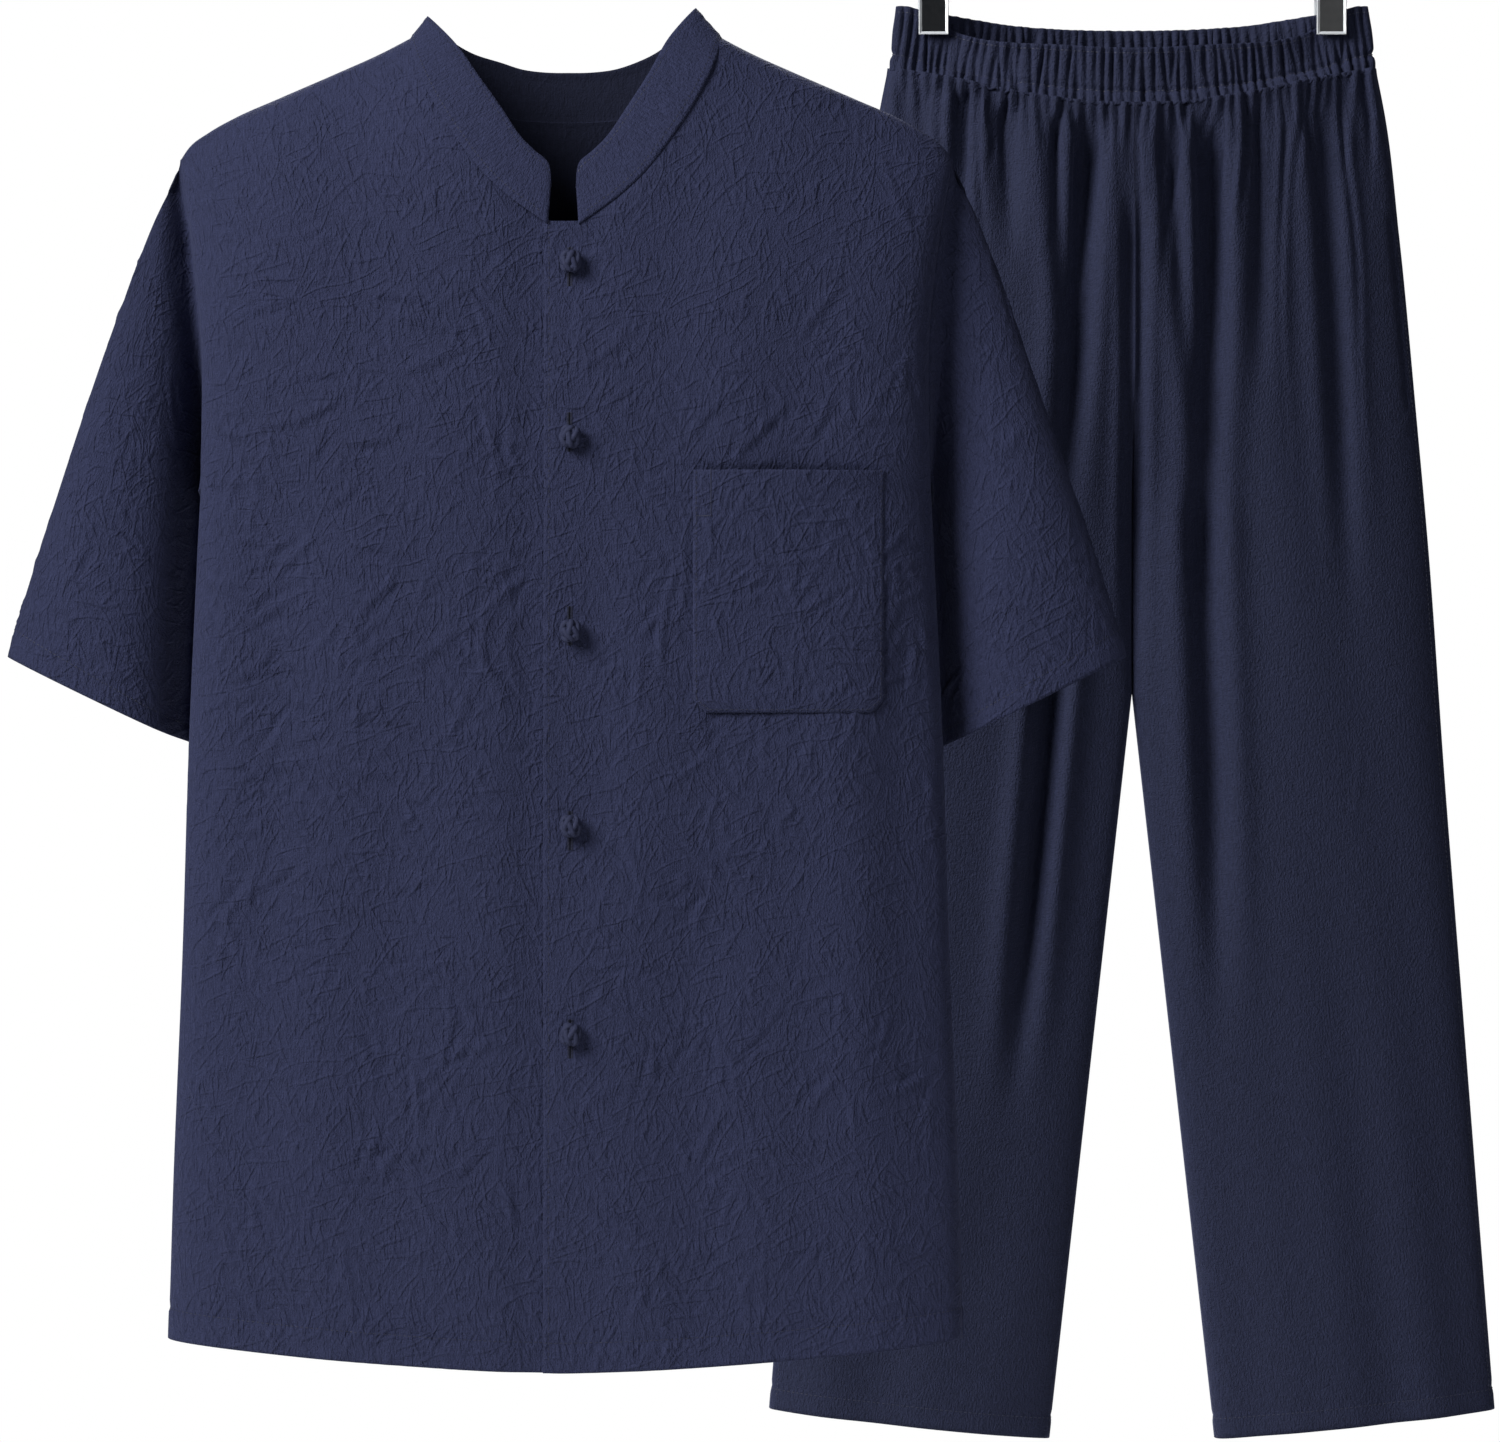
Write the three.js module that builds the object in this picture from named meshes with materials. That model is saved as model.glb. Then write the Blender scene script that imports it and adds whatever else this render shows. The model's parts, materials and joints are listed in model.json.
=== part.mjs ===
// A hanging two-piece suit: a short-sleeved shirt with a stand collar and knot buttons, and
// elastic-waist trousers held by a clip hanger. Millimetres, +Z up, the front faces -Y.
// The origin is the inner crown of the hanger's hook.
import * as THREE from "three";

// ---------------------------------------------------------------- driving dimensions
const CLOTH = 2; // thickness of each cloth wall
const SEAM = 0.3; // clear gap between two pieces that are sewn together
const HALF_SEAM = SEAM / 2;

// Where each garment's own origin stands: the shirt's is at its centre front hem, and the
// trousers' is at the inner corner of their hems.
const SHIRT_AT = { x: -358, y: -95, z: -957 };
const TROUSERS_AT = { x: 0, y: 0, z: -1010 };

// Shirt.
const SHIRT_HALF_WIDTH = 240; // from the centre line to the shoulder tip
const UNDERARM_Z = 548;
const SHOULDER_TIP_Z = 753;
const HEM_CENTRE_Z = 6;
const HEM_SIDE_Z = 24;
const HEM_CURVE = 1.5; // exponent of the hem's rise towards the side seams
const NECK_HALF_WIDTH = 94;
const NECK_ROOF_Z = 850; // top of the shoulders' curve, were it to cross the neck
const FRONT_ROLL = 3.2; // exponent of the front's round side: more is boxier
const BACK_ROLL = 2.2;
const SHOULDER_ROLL = 125; // height over which the front and back round over to the shoulder
const ARMHOLE_FRONT = 13; // how far the armhole's front and back edges stand from the shoulder line
const ARMHOLE_BACK = 22;
const ARMHOLE_OPENING = 3; // how fast the armhole's edges part below the shoulder tip
const PLACKET_X = -12.4; // edge of the wearer's left front, which laps over the right
const LAP_DEPTH = CLOTH + SEAM + 0.2;
const LAP_BLEND = 30;
const LAP_FULL = 1; // how far before the placket's edge the under layer is fully down

// The outline of the body at each height above the hem.
const SHIRT_SECTIONS = [
  { z: 0, half: 247, front: 42, back: 42 },
  { z: 110, half: 244, front: 44, back: 44 },
  { z: 260, half: 238, front: 47, back: 46 },
  { z: 390, half: 234, front: 50, back: 47 },
  { z: 500, half: 229, front: 53, back: 48 },
  { z: 590, half: 225, front: 54, back: 49 },
  { z: 640, half: 225, front: 53, back: 49 },
  { z: 700, half: 231, front: 50, back: 48 },
  { z: 753, half: 240, front: 48, back: 47 },
];
// The shoulder line, outwards from the neck.
const SHOULDER_LINE = [
  { x: 94, z: 830 },
  { x: 113, z: 820 },
  { x: 143, z: 805 },
  { x: 190, z: 786 },
  { x: 211, z: 773 },
  { x: 232, z: 760 },
  { x: 240, z: 753 },
];
// The neck seam and the collar's top edge at each column, for the front and for the back.
const NECK_STATIONS = [
  { x: 9, frontZ: 710, frontTopX: 7, frontTopZ: 740, backZ: 781.4, backTopX: 8, backTopZ: 812 },
  { x: 20, frontZ: 718, frontTopX: 10, frontTopZ: 747, backZ: 782, backTopX: 18, backTopZ: 812.5 },
  { x: 32, frontZ: 727, frontTopX: 17, frontTopZ: 753, backZ: 783, backTopX: 29, backTopZ: 814 },
  { x: 46, frontZ: 740, frontTopX: 26, frontTopZ: 762, backZ: 787, backTopX: 42, backTopZ: 818 },
  { x: 63, frontZ: 762, frontTopX: 38, frontTopZ: 780, backZ: 794, backTopX: 57, backTopZ: 825 },
  { x: 77, frontZ: 784, frontTopX: 51, frontTopZ: 801, backZ: 803, backTopX: 68, backTopZ: 834 },
  { x: 90, frontZ: 812, frontTopX: 64, frontTopZ: 826, backZ: 818, backTopX: 77, backTopZ: 843 },
  { x: 94, frontZ: 830, frontTopX: 80, frontTopZ: 847, backZ: 830, backTopX: 80, backTopZ: 847 },
];
const COLLAR_GAP = 1.8; // clear of the neck seam, where the band turns upright
const COLLAR_LEAN = 4; // how far the band leans in towards the neck
const COLLAR_LEAN_FROM = 20; // distance from the middle plane past which it leans fully

// Columns of a shirt panel from the centre to the side, at the shoulder's half width.
const NECK_COLUMNS = NECK_STATIONS.map((station) => station.x);
const SIDE_COLUMNS = [116, 148, 180, 208, 226, 236, 240];
const BACK_SIDE_COLUMNS = [125, 170, 208, 230, 240];
const ROWS_BELOW_UNDERARM = 8;
const ROWS_ABOVE_UNDERARM = 7; // also the steps up each half of the armhole
const SHIRT_ROWS = ROWS_BELOW_UNDERARM + ROWS_ABOVE_UNDERARM;

// Soft upright troughs and ridges in the hanging cloth: depth is positive inwards.
const SHIRT_FOLDS = [
  { face: "front", x: -178, lowX: -186, topZ: 560, lowZ: 60, depth: 5, width: 26 },
  { face: "front", x: 210, lowX: 206, topZ: 500, lowZ: 20, depth: 3, width: 18 },
  { face: "front", x: -96, lowX: -120, topZ: 420, lowZ: -20, depth: 3, width: 30 },
  { face: "front", x: 92, lowX: 84, topZ: 330, lowZ: -20, depth: 3, width: 32 },
  { face: "back", x: -120, lowX: -140, topZ: 600, lowZ: -20, depth: 6, width: 32 },
  { face: "back", x: 24, lowX: 10, topZ: 560, lowZ: -20, depth: 5, width: 36 },
  { face: "back", x: 130, lowX: 150, topZ: 590, lowZ: -20, depth: 6, width: 30 },
];

// Sleeve: the outer line runs from the shoulder tip to the cuff, and the inner one lies just
// behind the body's side, from the underarm to the cuff.
const ARMHOLE_GAP = 3 * SEAM; // clear of the panels' edges, which bend round it
const CUFF_OUTER = { x: 348, z: 445 };
const CUFF_INNER = { x: 232, z: 388 };
const SLEEVE_RINGS = 8;
const SLEEVE_DEPTH = 25; // half the thickness of the hanging sleeve at its cuff
const SLEEVE_TUCK = 25; // how far the inner line lies behind the shirt's middle plane
const SLEEVE_TUCK_SHARE = 0.28; // share of the sleeve's length over which it gets there
const SLEEVE_BEHIND = 2.6; // how far the inner line goes behind the body's outline
const SLEEVE_OUTER_Y = 6;
const SLEEVE_FULL_SHARE = 0.7; // where along its length the sleeve has its whole depth
const SLEEVE_HEAD_SHARE = 0.2; // where it has left the slant of the armhole

// Chest pocket, on the wearer's left.
const POCKET = { left: 79, right: 196, bottom: 410, top: 558, corner: 8, gape: 2.5, lift: 1.1 };
const GAPE_CURVE = 4; // exponent of the mouth's gape up the pocket: more is nearer the top
const POCKET_COLUMNS = 7;
const POCKET_ROWS = 6;

// Knot buttons.
const BUTTON_X = 4.5;
const BUTTON_HEIGHTS = [685, 578, 460, 341, 214];
const KNOT = { wide: 6.5, deep: 5, tall: 8, around: 12, rings: 8 };

// Trousers.
const CROTCH_Z = 571;
const TROUSER_HEM_RISE = 19; // how much higher each hem is at the outer side
const LEG_TOUCH_Z = 475; // the legs touch above this height
const LEG_SPREAD = 0.1115; // how far the inner line leans away from the centre
const LEG_GAP = 0.5;
const LEG_SECTIONS = [
  { z: 0, outer: 234, depth: 25 },
  { z: 113, outer: 225, depth: 24 },
  { z: 267, outer: 213, depth: 23 },
  { z: 420, outer: 201, depth: 24 },
  { z: 574, outer: 190, depth: 26 },
  { z: 651, outer: 183, depth: 28 },
  { z: 766, outer: 172, depth: 30 },
  { z: 843, outer: 163, depth: 29 },
  { z: 874, outer: 157, depth: 27 },
];
const LEG_ROLL = 2.6;
const CROTCH_CURVE = 120; // height over which the centre seams swing forward and back
const WAIST_BLEND = { low: 740, high: 860 };
const ROWS_BELOW_CROTCH = 7;
const ROWS_ABOVE_CROTCH = 8;

// The waist casing at each share of its half width: half depths and heights.
const WAIST_TOP_HALF = 151;
const WAIST_LOW_HALF = 157;
const WAIST_STATIONS = [
  { share: 0, topDepth: 20, lowDepth: 27, frontZ: 886, backZ: 902, lowZ: 849 },
  { share: 0.16, topDepth: 19.6, lowDepth: 26.6, frontZ: 886.8, backZ: 902.2, lowZ: 850 },
  { share: 0.34, topDepth: 17.8, lowDepth: 25.4, frontZ: 888.5, backZ: 903, lowZ: 853.5 },
  { share: 0.5, topDepth: 14.5, lowDepth: 23.8, frontZ: 890, backZ: 904.5, lowZ: 858 },
  { share: 0.64, topDepth: 9.5, lowDepth: 21.2, frontZ: 893, backZ: 907, lowZ: 863 },
  { share: 0.77, topDepth: 3.2, lowDepth: 17, frontZ: 900, backZ: 909.5, lowZ: 867.5 },
  { share: 0.84, topDepth: 3.2, lowDepth: 14.5, frontZ: 907, backZ: 911.5, lowZ: 869.5 },
  { share: 0.91, topDepth: 3.2, lowDepth: 11.5, frontZ: 913, backZ: 913.5, lowZ: 871.5 },
  { share: 0.97, topDepth: 3, lowDepth: 8, frontZ: 915, backZ: 915, lowZ: 873.2 },
  { share: 1, topDepth: 0, lowDepth: 0, frontZ: 915, backZ: 915, lowZ: 874 },
];
const WAIST_FLARE = 4; // how late the casing widens below the clips
const WAIST_ROWS = 3;

// Gathers and long soft folds of the trousers: depth is positive inwards.
const TROUSER_FOLDS = [
  { face: "front", side: -1, x: 34, lowX: 45, topZ: 850, lowZ: 600, depth: 7, width: 9 },
  { face: "front", side: -1, x: 78, lowX: 70, topZ: 855, lowZ: 700, depth: 4, width: 9 },
  { face: "front", side: -1, x: 108, lowX: 112, topZ: 862, lowZ: 720, depth: 5, width: 8 },
  { face: "front", side: -1, x: 132, lowX: 140, topZ: 865, lowZ: 740, depth: 3, width: 7 },
  { face: "front", side: -1, x: 55, lowX: 72, topZ: 480, lowZ: 300, depth: 4, width: 16 },
  { face: "front", side: 1, x: 57, lowX: 42, topZ: 855, lowZ: 420, depth: 7, width: 12 },
  { face: "front", side: 1, x: 28, lowX: 26, topZ: 850, lowZ: 720, depth: 4, width: 8 },
  { face: "front", side: 1, x: 90, lowX: 94, topZ: 860, lowZ: 690, depth: 4, width: 9 },
  { face: "front", side: 1, x: 125, lowX: 138, topZ: 865, lowZ: 640, depth: 5, width: 9 },
  { face: "back", side: -1, x: 30, lowX: 38, topZ: 850, lowZ: 640, depth: 5, width: 11 },
  { face: "back", side: -1, x: 84, lowX: 92, topZ: 858, lowZ: 610, depth: 6, width: 12 },
  { face: "back", side: -1, x: 126, lowX: 136, topZ: 864, lowZ: 690, depth: 4, width: 9 },
  { face: "back", side: 1, x: 44, lowX: 50, topZ: 853, lowZ: 600, depth: 6, width: 12 },
  { face: "back", side: 1, x: 96, lowX: 104, topZ: 860, lowZ: 660, depth: 5, width: 11 },
  { face: "back", side: 1, x: 132, lowX: 142, topZ: 864, lowZ: 720, depth: 3, width: 8 },
];

// Clip hanger.
const CLIP_X = 127;
const CLIP_Z = 907; // middle of the jaws' grip
const JAW = { wide: 19, bottom: 896, top: 925, thick: 2.4 };
const PAD = { wide: 13.5, tall: 17, thick: 1.6 };
const GRIP_HALF = 3.2 + 2 * SEAM; // half the gap between the pads, round the pinched casing
const SADDLE = { wide: 13, centreZ: 929, inside: GRIP_HALF + PAD.thick + SEAM };
const BAR = { half: 150, radius: 3, z: 931 };
const HOOK = { wire: 1.7, radius: 23, tail: 200, bends: 14, steps: 26 };

// Shares of a fold's length: it is full after the first, and fades out from the second.
const FOLD_START = 0.12;
const FOLD_FADE = 0.45;

// ---------------------------------------------------------------- helpers
const clamp01 = (value) => Math.min(1, Math.max(0, value));
const mix = (a, b, share) => a + (b - a) * share;
const smooth = (low, high, value) => {
  const share = clamp01((value - low) / (high - low));
  return share * share * (3 - 2 * share);
};

// Straight-line lookup of one column of a table whose rows rise in the key column.
function lookup(table, key, column, at) {
  const last = table.length - 1;
  if (at <= table[0][key]) return table[0][column];
  for (let i = 1; i <= last; i++) {
    const [low, high] = [table[i - 1], table[i]];
    if (at <= high[key]) {
      return mix(low[column], high[column], (at - low[key]) / (high[key] - low[key]));
    }
  }
  return table[last][column];
}

// How far the folds of one face push the cloth in at a place.
function foldDepth(folds, face, side, x, z) {
  let depth = 0;
  for (const fold of folds) {
    if (fold.face !== face || (fold.side && fold.side !== side)) continue;
    const along = (fold.topZ - z) / (fold.topZ - fold.lowZ);
    if (along < 0 || along > 1) continue;
    const centre = mix(fold.x, fold.lowX, along);
    const start = smooth(0, FOLD_START, along);
    const fade = 1 - smooth(FOLD_FADE, 1, along);
    depth += fold.depth * start * fade * Math.exp(-(((x - centre) / fold.width) ** 2));
  }
  return depth;
}

// A closed wall of cloth from rows of points on its outer face. Each row runs anticlockwise
// seen from above, and the rows run upwards. turn(normal, column, row) may turn the normal of
// an edge, so that the wall's edge face is square to its seam.
function clothWall(rows, { thickness = CLOTH, closed = false, turn = null } = {}) {
  const height = rows.length;
  const width = rows[0].length;
  const at = (i, j) => rows[j][closed ? (i + width) % width : Math.min(width - 1, Math.max(0, i))];
  const outer = rows.flat();
  const inner = rows.flatMap((row, j) =>
    row.map((point, i) => {
      const across = at(i + 1, j).clone().sub(at(i - 1, j));
      const up = at(i, Math.min(height - 1, j + 1)).clone().sub(at(i, Math.max(0, j - 1)));
      const normal = across.cross(up).normalize();
      if (turn) turn(normal, i, j);
      return point.clone().addScaledVector(normal.normalize(), -thickness);
    }),
  );
  const count = outer.length;
  const index = (i, j) => j * width + (i % width);
  const faces = [];
  const quad = (a, b, c, d) => faces.push(a, b, c, a, c, d);
  const spans = closed ? width : width - 1;
  for (let j = 0; j < height - 1; j++) {
    for (let i = 0; i < spans; i++) {
      const corners = [index(i, j), index(i + 1, j), index(i + 1, j + 1), index(i, j + 1)];
      quad(...corners);
      quad(...corners.map((corner) => corner + count).reverse());
    }
  }
  for (let i = 0; i < spans; i++) {
    const [low, lowNext] = [index(i, 0), index(i + 1, 0)];
    const [high, highNext] = [index(i, height - 1), index(i + 1, height - 1)];
    quad(low, low + count, lowNext + count, lowNext);
    quad(high, highNext, highNext + count, high + count);
  }
  for (let j = 0; !closed && j < height - 1; j++) {
    const [first, firstUp] = [index(0, j), index(0, j + 1)];
    const [last, lastUp] = [index(width - 1, j), index(width - 1, j + 1)];
    quad(first, firstUp, firstUp + count, first + count);
    quad(last, last + count, lastUp + count, lastUp);
  }
  const geometry = new THREE.BufferGeometry().setFromPoints([...outer, ...inner]);
  geometry.setIndex(faces);
  geometry.computeVertexNormals();
  return geometry;
}

// The same rows on the other side of the centre plane, still anticlockwise.
const mirrored = (rows) =>
  rows.map((row) => row.map((point) => new THREE.Vector3(-point.x, point.y, point.z)).reverse());

function mesh(name, geometry, material) {
  const made = new THREE.Mesh(geometry, material);
  made.name = name;
  return made;
}

// ---------------------------------------------------------------- materials
const cloth = (color) => () => new THREE.MeshStandardMaterial({ color, roughness: 0.85, metalness: 0 });
const shirtCloth = cloth(0x2a2d41);
const trouserCloth = cloth(0x262a3e);
const knotCord = cloth(0x23263a);
const steel = () => new THREE.MeshStandardMaterial({ color: 0xc9ccd0, roughness: 0.25, metalness: 1 });
const clearPlastic = () =>
  new THREE.MeshStandardMaterial({ color: 0xe9edf0, roughness: 0.12, metalness: 0 });
const rubber = () => new THREE.MeshStandardMaterial({ color: 0x1b1c1f, roughness: 0.7, metalness: 0 });

// ---------------------------------------------------------------- shirt
const bodyHalf = (z) => lookup(SHIRT_SECTIONS, "z", "half", z);
const hemZ = (x) => mix(HEM_CENTRE_Z, HEM_SIDE_Z, Math.abs(x / SHIRT_HALF_WIDTH) ** HEM_CURVE);

function shoulderZ(x) {
  const side = Math.abs(x);
  if (side >= NECK_HALF_WIDTH) return lookup(SHOULDER_LINE, "x", "z", side);
  return mix(NECK_ROOF_Z, SHOULDER_LINE[0].z, (side / NECK_HALF_WIDTH) ** 2);
}

function topZ(face, x) {
  const side = Math.abs(x);
  if (side >= NECK_HALF_WIDTH) return shoulderZ(x);
  return lookup(NECK_STATIONS, "x", face === "front" ? "frontZ" : "backZ", side);
}

// Where a height lies on the armhole: -1 at the underarm and 1 at the shoulder tip.
const armholeShare = (z) =>
  Math.max(-1, (2 * (z - UNDERARM_Z)) / (SHOULDER_TIP_Z - UNDERARM_Z) - 1);

// The y of the shirt's outer face, measured from its middle plane.
function shirtY(face, x, z) {
  const front = face === "front";
  const share = clamp01(Math.abs(x) / bodyHalf(z));
  const roll = front ? FRONT_ROLL : BACK_ROLL;
  const side = (1 - share ** roll) ** (1 / roll);
  const climb = clamp01((shoulderZ(x) - z) / SHOULDER_ROLL);
  const shoulder = Math.sqrt(1 - (1 - climb) ** 2);
  const hole = Math.sqrt(Math.max(0, 1 - armholeShare(z) ** 2));
  const edge = Math.min(1, shoulder * ARMHOLE_OPENING) * hole * (front ? ARMHOLE_FRONT : ARMHOLE_BACK);
  const full = lookup(SHIRT_SECTIONS, "z", face, z) * shoulder;
  const fold = foldDepth(SHIRT_FOLDS, face, 0, x, z) * side;
  const depth = Math.max(HALF_SEAM, edge + (full - edge) * side - fold);
  return front ? -depth : depth;
}

// The share of the armhole's height at each step up one half of its loop.
const armholeStep = (step) => (1 - Math.cos((Math.PI * step) / ROWS_ABOVE_UNDERARM)) / 2;

// Outer faces of one shirt panel, from its columns' places at the shoulder's half width.
function shirtRows(face, columns, inset = () => 0) {
  const rows = [];
  const underarm = (UNDERARM_Z - HEM_SIDE_Z) / (SHOULDER_TIP_Z - HEM_SIDE_Z);
  for (let j = 0; j <= SHIRT_ROWS; j++) {
    const above = armholeStep(j - ROWS_BELOW_UNDERARM);
    const share =
      j <= ROWS_BELOW_UNDERARM ? (underarm * j) / ROWS_BELOW_UNDERARM : mix(underarm, 1, above);
    rows.push(
      columns.map((column) => {
        const z = mix(hemZ(column), topZ(face, column), share);
        const x = (column / SHIRT_HALF_WIDTH) * bodyHalf(z);
        const y = shirtY(face, x, z) + inset(x);
        return new THREE.Vector3(x, y, z);
      }),
    );
  }
  return rows;
}

// Squares the edges of a shirt panel to the side seams, armholes and shoulder seams.
const squareShirtEdges = (columns) => (normal, i, j) => {
  const column = columns[i];
  const atSide = Math.abs(column) === SHIRT_HALF_WIDTH;
  const atTop = j === SHIRT_ROWS;
  if (atSide && j <= ROWS_BELOW_UNDERARM) {
    normal.set(Math.sign(column), 0, 0);
  } else if (atSide && !atTop) {
    const share = 2 * armholeStep(j - ROWS_BELOW_UNDERARM) - 1;
    const out = Math.max(0, -share) * Math.sign(column);
    const away = Math.sqrt(1 - share * share) * Math.sign(normal.y);
    normal.set(out, away, Math.max(0, share));
  } else if (atTop && Math.abs(column) >= NECK_HALF_WIDTH) {
    normal.y = 0;
    if (atSide) normal.set(0, 0, 1);
  }
};

const outwards = [...NECK_COLUMNS, ...SIDE_COLUMNS];
const leftFrontColumns = [PLACKET_X, -2, ...outwards];
const rightFrontColumns = [...outwards.map((x) => -x).reverse(), 0, -PLACKET_X];
const backHalf = [...NECK_COLUMNS.slice(1), ...BACK_SIDE_COLUMNS];
const backColumns = [...[...backHalf].reverse(), 0, ...backHalf.map((x) => -x)];

// The right front dips under the left one at the lap.
const lapInset = (x) => LAP_DEPTH * smooth(PLACKET_X - LAP_BLEND, PLACKET_X - LAP_FULL, x);

function shirtPanel(name, face, columns, inset) {
  const rows = shirtRows(face, columns, inset);
  const geometry = clothWall(rows, { turn: squareShirtEdges(columns) });
  return mesh(name, geometry, shirtCloth());
}

// The outer line of a sleeve ring, its inner line, and the loop of points between them.
function sleeveRing(share) {
  const outerX = mix(SHIRT_HALF_WIDTH + ARMHOLE_GAP, CUFF_OUTER.x, share);
  const outerZ = mix(SHOULDER_TIP_Z, CUFF_OUTER.z, share);
  const innerZ = mix(UNDERARM_Z, CUFF_INNER.z, share);
  const tucked = smooth(0, SLEEVE_TUCK_SHARE, share);
  const innerX = bodyHalf(innerZ) + mix(ARMHOLE_GAP, -SLEEVE_BEHIND, tucked);
  const frontDepth = mix(ARMHOLE_FRONT, SLEEVE_DEPTH, smooth(0, SLEEVE_FULL_SHARE, share));
  const backDepth = mix(ARMHOLE_BACK, SLEEVE_DEPTH, smooth(0, SLEEVE_FULL_SHARE, share));
  const ring = [];
  for (let k = 0; k < 2 * ROWS_ABOVE_UNDERARM; k++) {
    const turnBy = (Math.PI * k) / ROWS_ABOVE_UNDERARM;
    const along = -Math.cos(turnBy); // -1 at the inner line, 1 at the outer one
    const forward = Math.sin(turnBy); // positive on the front half
    const out = (1 + along) / 2;
    // The first ring follows the armhole, whose outline leans with the body's side.
    const z = mix(innerZ, outerZ, out);
    const hole = bodyHalf(z) + ARMHOLE_GAP;
    const x = mix(hole, mix(innerX, outerX, out), smooth(0, SLEEVE_HEAD_SHARE, share));
    const middle = mix(SLEEVE_TUCK * tucked, SLEEVE_OUTER_Y * share, out);
    const depth = forward > 0 ? frontDepth : backDepth;
    ring.push(new THREE.Vector3(x, middle - depth * forward, z));
  }
  return ring;
}

function sleeve(name, side) {
  const rows = [];
  for (let j = SLEEVE_RINGS; j >= 0; j--) rows.push(sleeveRing(j / SLEEVE_RINGS));
  const armhole = (normal, i, j) => {
    if (j === SLEEVE_RINGS) normal.x = 0;
  };
  const geometry = clothWall(side > 0 ? rows : mirrored(rows), { closed: true, turn: armhole });
  return mesh(name, geometry, shirtCloth());
}

// The stand collar: a band from the front end round the back of the neck to the other end.
function standCollar() {
  const station = (row, face) => {
    const seamZ = face === "front" ? row.frontZ : row.backZ;
    const seam = new THREE.Vector3(row.x, shirtY(face, row.x, seamZ), seamZ);
    const topX = face === "front" ? row.frontTopX : row.backTopX;
    const topZed = face === "front" ? row.frontTopZ : row.backTopZ;
    const lean = COLLAR_LEAN * Math.min(1, Math.abs(seam.y) / COLLAR_LEAN_FROM);
    const top = new THREE.Vector3(topX, seam.y - Math.sign(seam.y) * lean, topZed);
    const up = top.clone().sub(seam).normalize();
    seam.addScaledVector(up, COLLAR_GAP);
    return [seam, seam.clone().add(top).divideScalar(2), top];
  };
  const front = NECK_STATIONS.map((row) => station(row, "front"));
  const back = NECK_STATIONS.slice(1, -1).map((row) => station(row, "back"));
  const half = [...front, ...back.reverse()];
  const flip = (points) => points.map((p) => new THREE.Vector3(-p.x, p.y, p.z));
  const nape = station({ ...NECK_STATIONS[0], x: 0, backTopX: 0 }, "back");
  const stations = [...half, nape, ...half.map(flip).reverse()];
  const rows = [0, 1, 2].map((level) => stations.map((points) => points[level]));
  return mesh("stand_collar", clothWall(rows), shirtCloth());
}

// A patch sewn on the left front: the front's own points, moved out.
function chestPocket() {
  const rows = [];
  const tall = POCKET.top - POCKET.bottom;
  for (let j = 0; j <= POCKET_ROWS; j++) {
    const up = j === 0 ? 0 : mix(POCKET.corner / tall, 1, (j - 1) / (POCKET_ROWS - 1));
    const z = POCKET.bottom + tall * up;
    const cut = j === 0 ? POCKET.corner : 0;
    const row = [];
    for (let i = 0; i <= POCKET_COLUMNS; i++) {
      const across = i / POCKET_COLUMNS;
      const x = mix(POCKET.left + cut, POCKET.right - cut, across);
      const gape = POCKET.gape * Math.sin(Math.PI * across) * up ** GAPE_CURVE;
      const y = shirtY("front", x, z) - CLOTH - POCKET.lift - gape;
      row.push(new THREE.Vector3(x, y, z));
    }
    rows.push(row);
  }
  return mesh("chest_pocket", clothWall(rows), shirtCloth());
}

function knotButton(number, z) {
  const geometry = new THREE.SphereGeometry(1, KNOT.around, KNOT.rings);
  geometry.scale(KNOT.wide, KNOT.deep, KNOT.tall);
  const knot = mesh("knot_button_" + number, geometry, knotCord());
  knot.position.set(BUTTON_X, shirtY("front", BUTTON_X, z) - KNOT.deep - SEAM, z);
  return knot;
}

// ---------------------------------------------------------------- trousers
const legOuter = (z) => lookup(LEG_SECTIONS, "z", "outer", z);

function legInner(z) {
  if (z >= CROTCH_Z) return HALF_SEAM;
  return LEG_GAP + Math.max(0, LEG_TOUCH_Z - z) * LEG_SPREAD;
}

// Half the depth of the trousers' outer face, at a share of the way from the inner line out.
function trouserDepth(share, z) {
  const outerRoll = (1 - share ** LEG_ROLL) ** (1 / LEG_ROLL);
  const innerRoll = (1 - (1 - share) ** LEG_ROLL) ** (1 / LEG_ROLL);
  const joined = smooth(CROTCH_Z, CROTCH_Z + CROTCH_CURVE, z);
  const body = lookup(LEG_SECTIONS, "z", "depth", z) * outerRoll * mix(innerRoll, 1, joined);
  const waist = lookup(WAIST_STATIONS, "share", "lowDepth", share);
  return mix(body, waist, smooth(WAIST_BLEND.low, WAIST_BLEND.high, z));
}

// Outer face of one trouser panel, between its inner line and its side seam.
function trouserRows(face, side) {
  const rows = [];
  const total = ROWS_BELOW_CROTCH + ROWS_ABOVE_CROTCH;
  const crotch = CROTCH_Z / WAIST_STATIONS[0].lowZ;
  for (let j = 0; j <= total; j++) {
    const above = (j - ROWS_BELOW_CROTCH) / ROWS_ABOVE_CROTCH;
    const up = j <= ROWS_BELOW_CROTCH ? (crotch * j) / ROWS_BELOW_CROTCH : mix(crotch, 1, above);
    rows.push(
      WAIST_STATIONS.map(({ share, lowZ }) => {
        const z = mix(TROUSER_HEM_RISE * share, lowZ - SEAM, up);
        const outer = up === 1 ? WAIST_LOW_HALF : legOuter(z);
        const x = mix(legInner(z), outer, share);
        const fold = foldDepth(TROUSER_FOLDS, face, side, x, z) * Math.sqrt(1 - share);
        const depth = Math.max(HALF_SEAM, trouserDepth(share, z) - fold);
        return new THREE.Vector3(x, face === "front" ? -depth : depth, z);
      }),
    );
  }
  return face === "front" ? rows : rows.map((row) => row.reverse());
}

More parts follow.
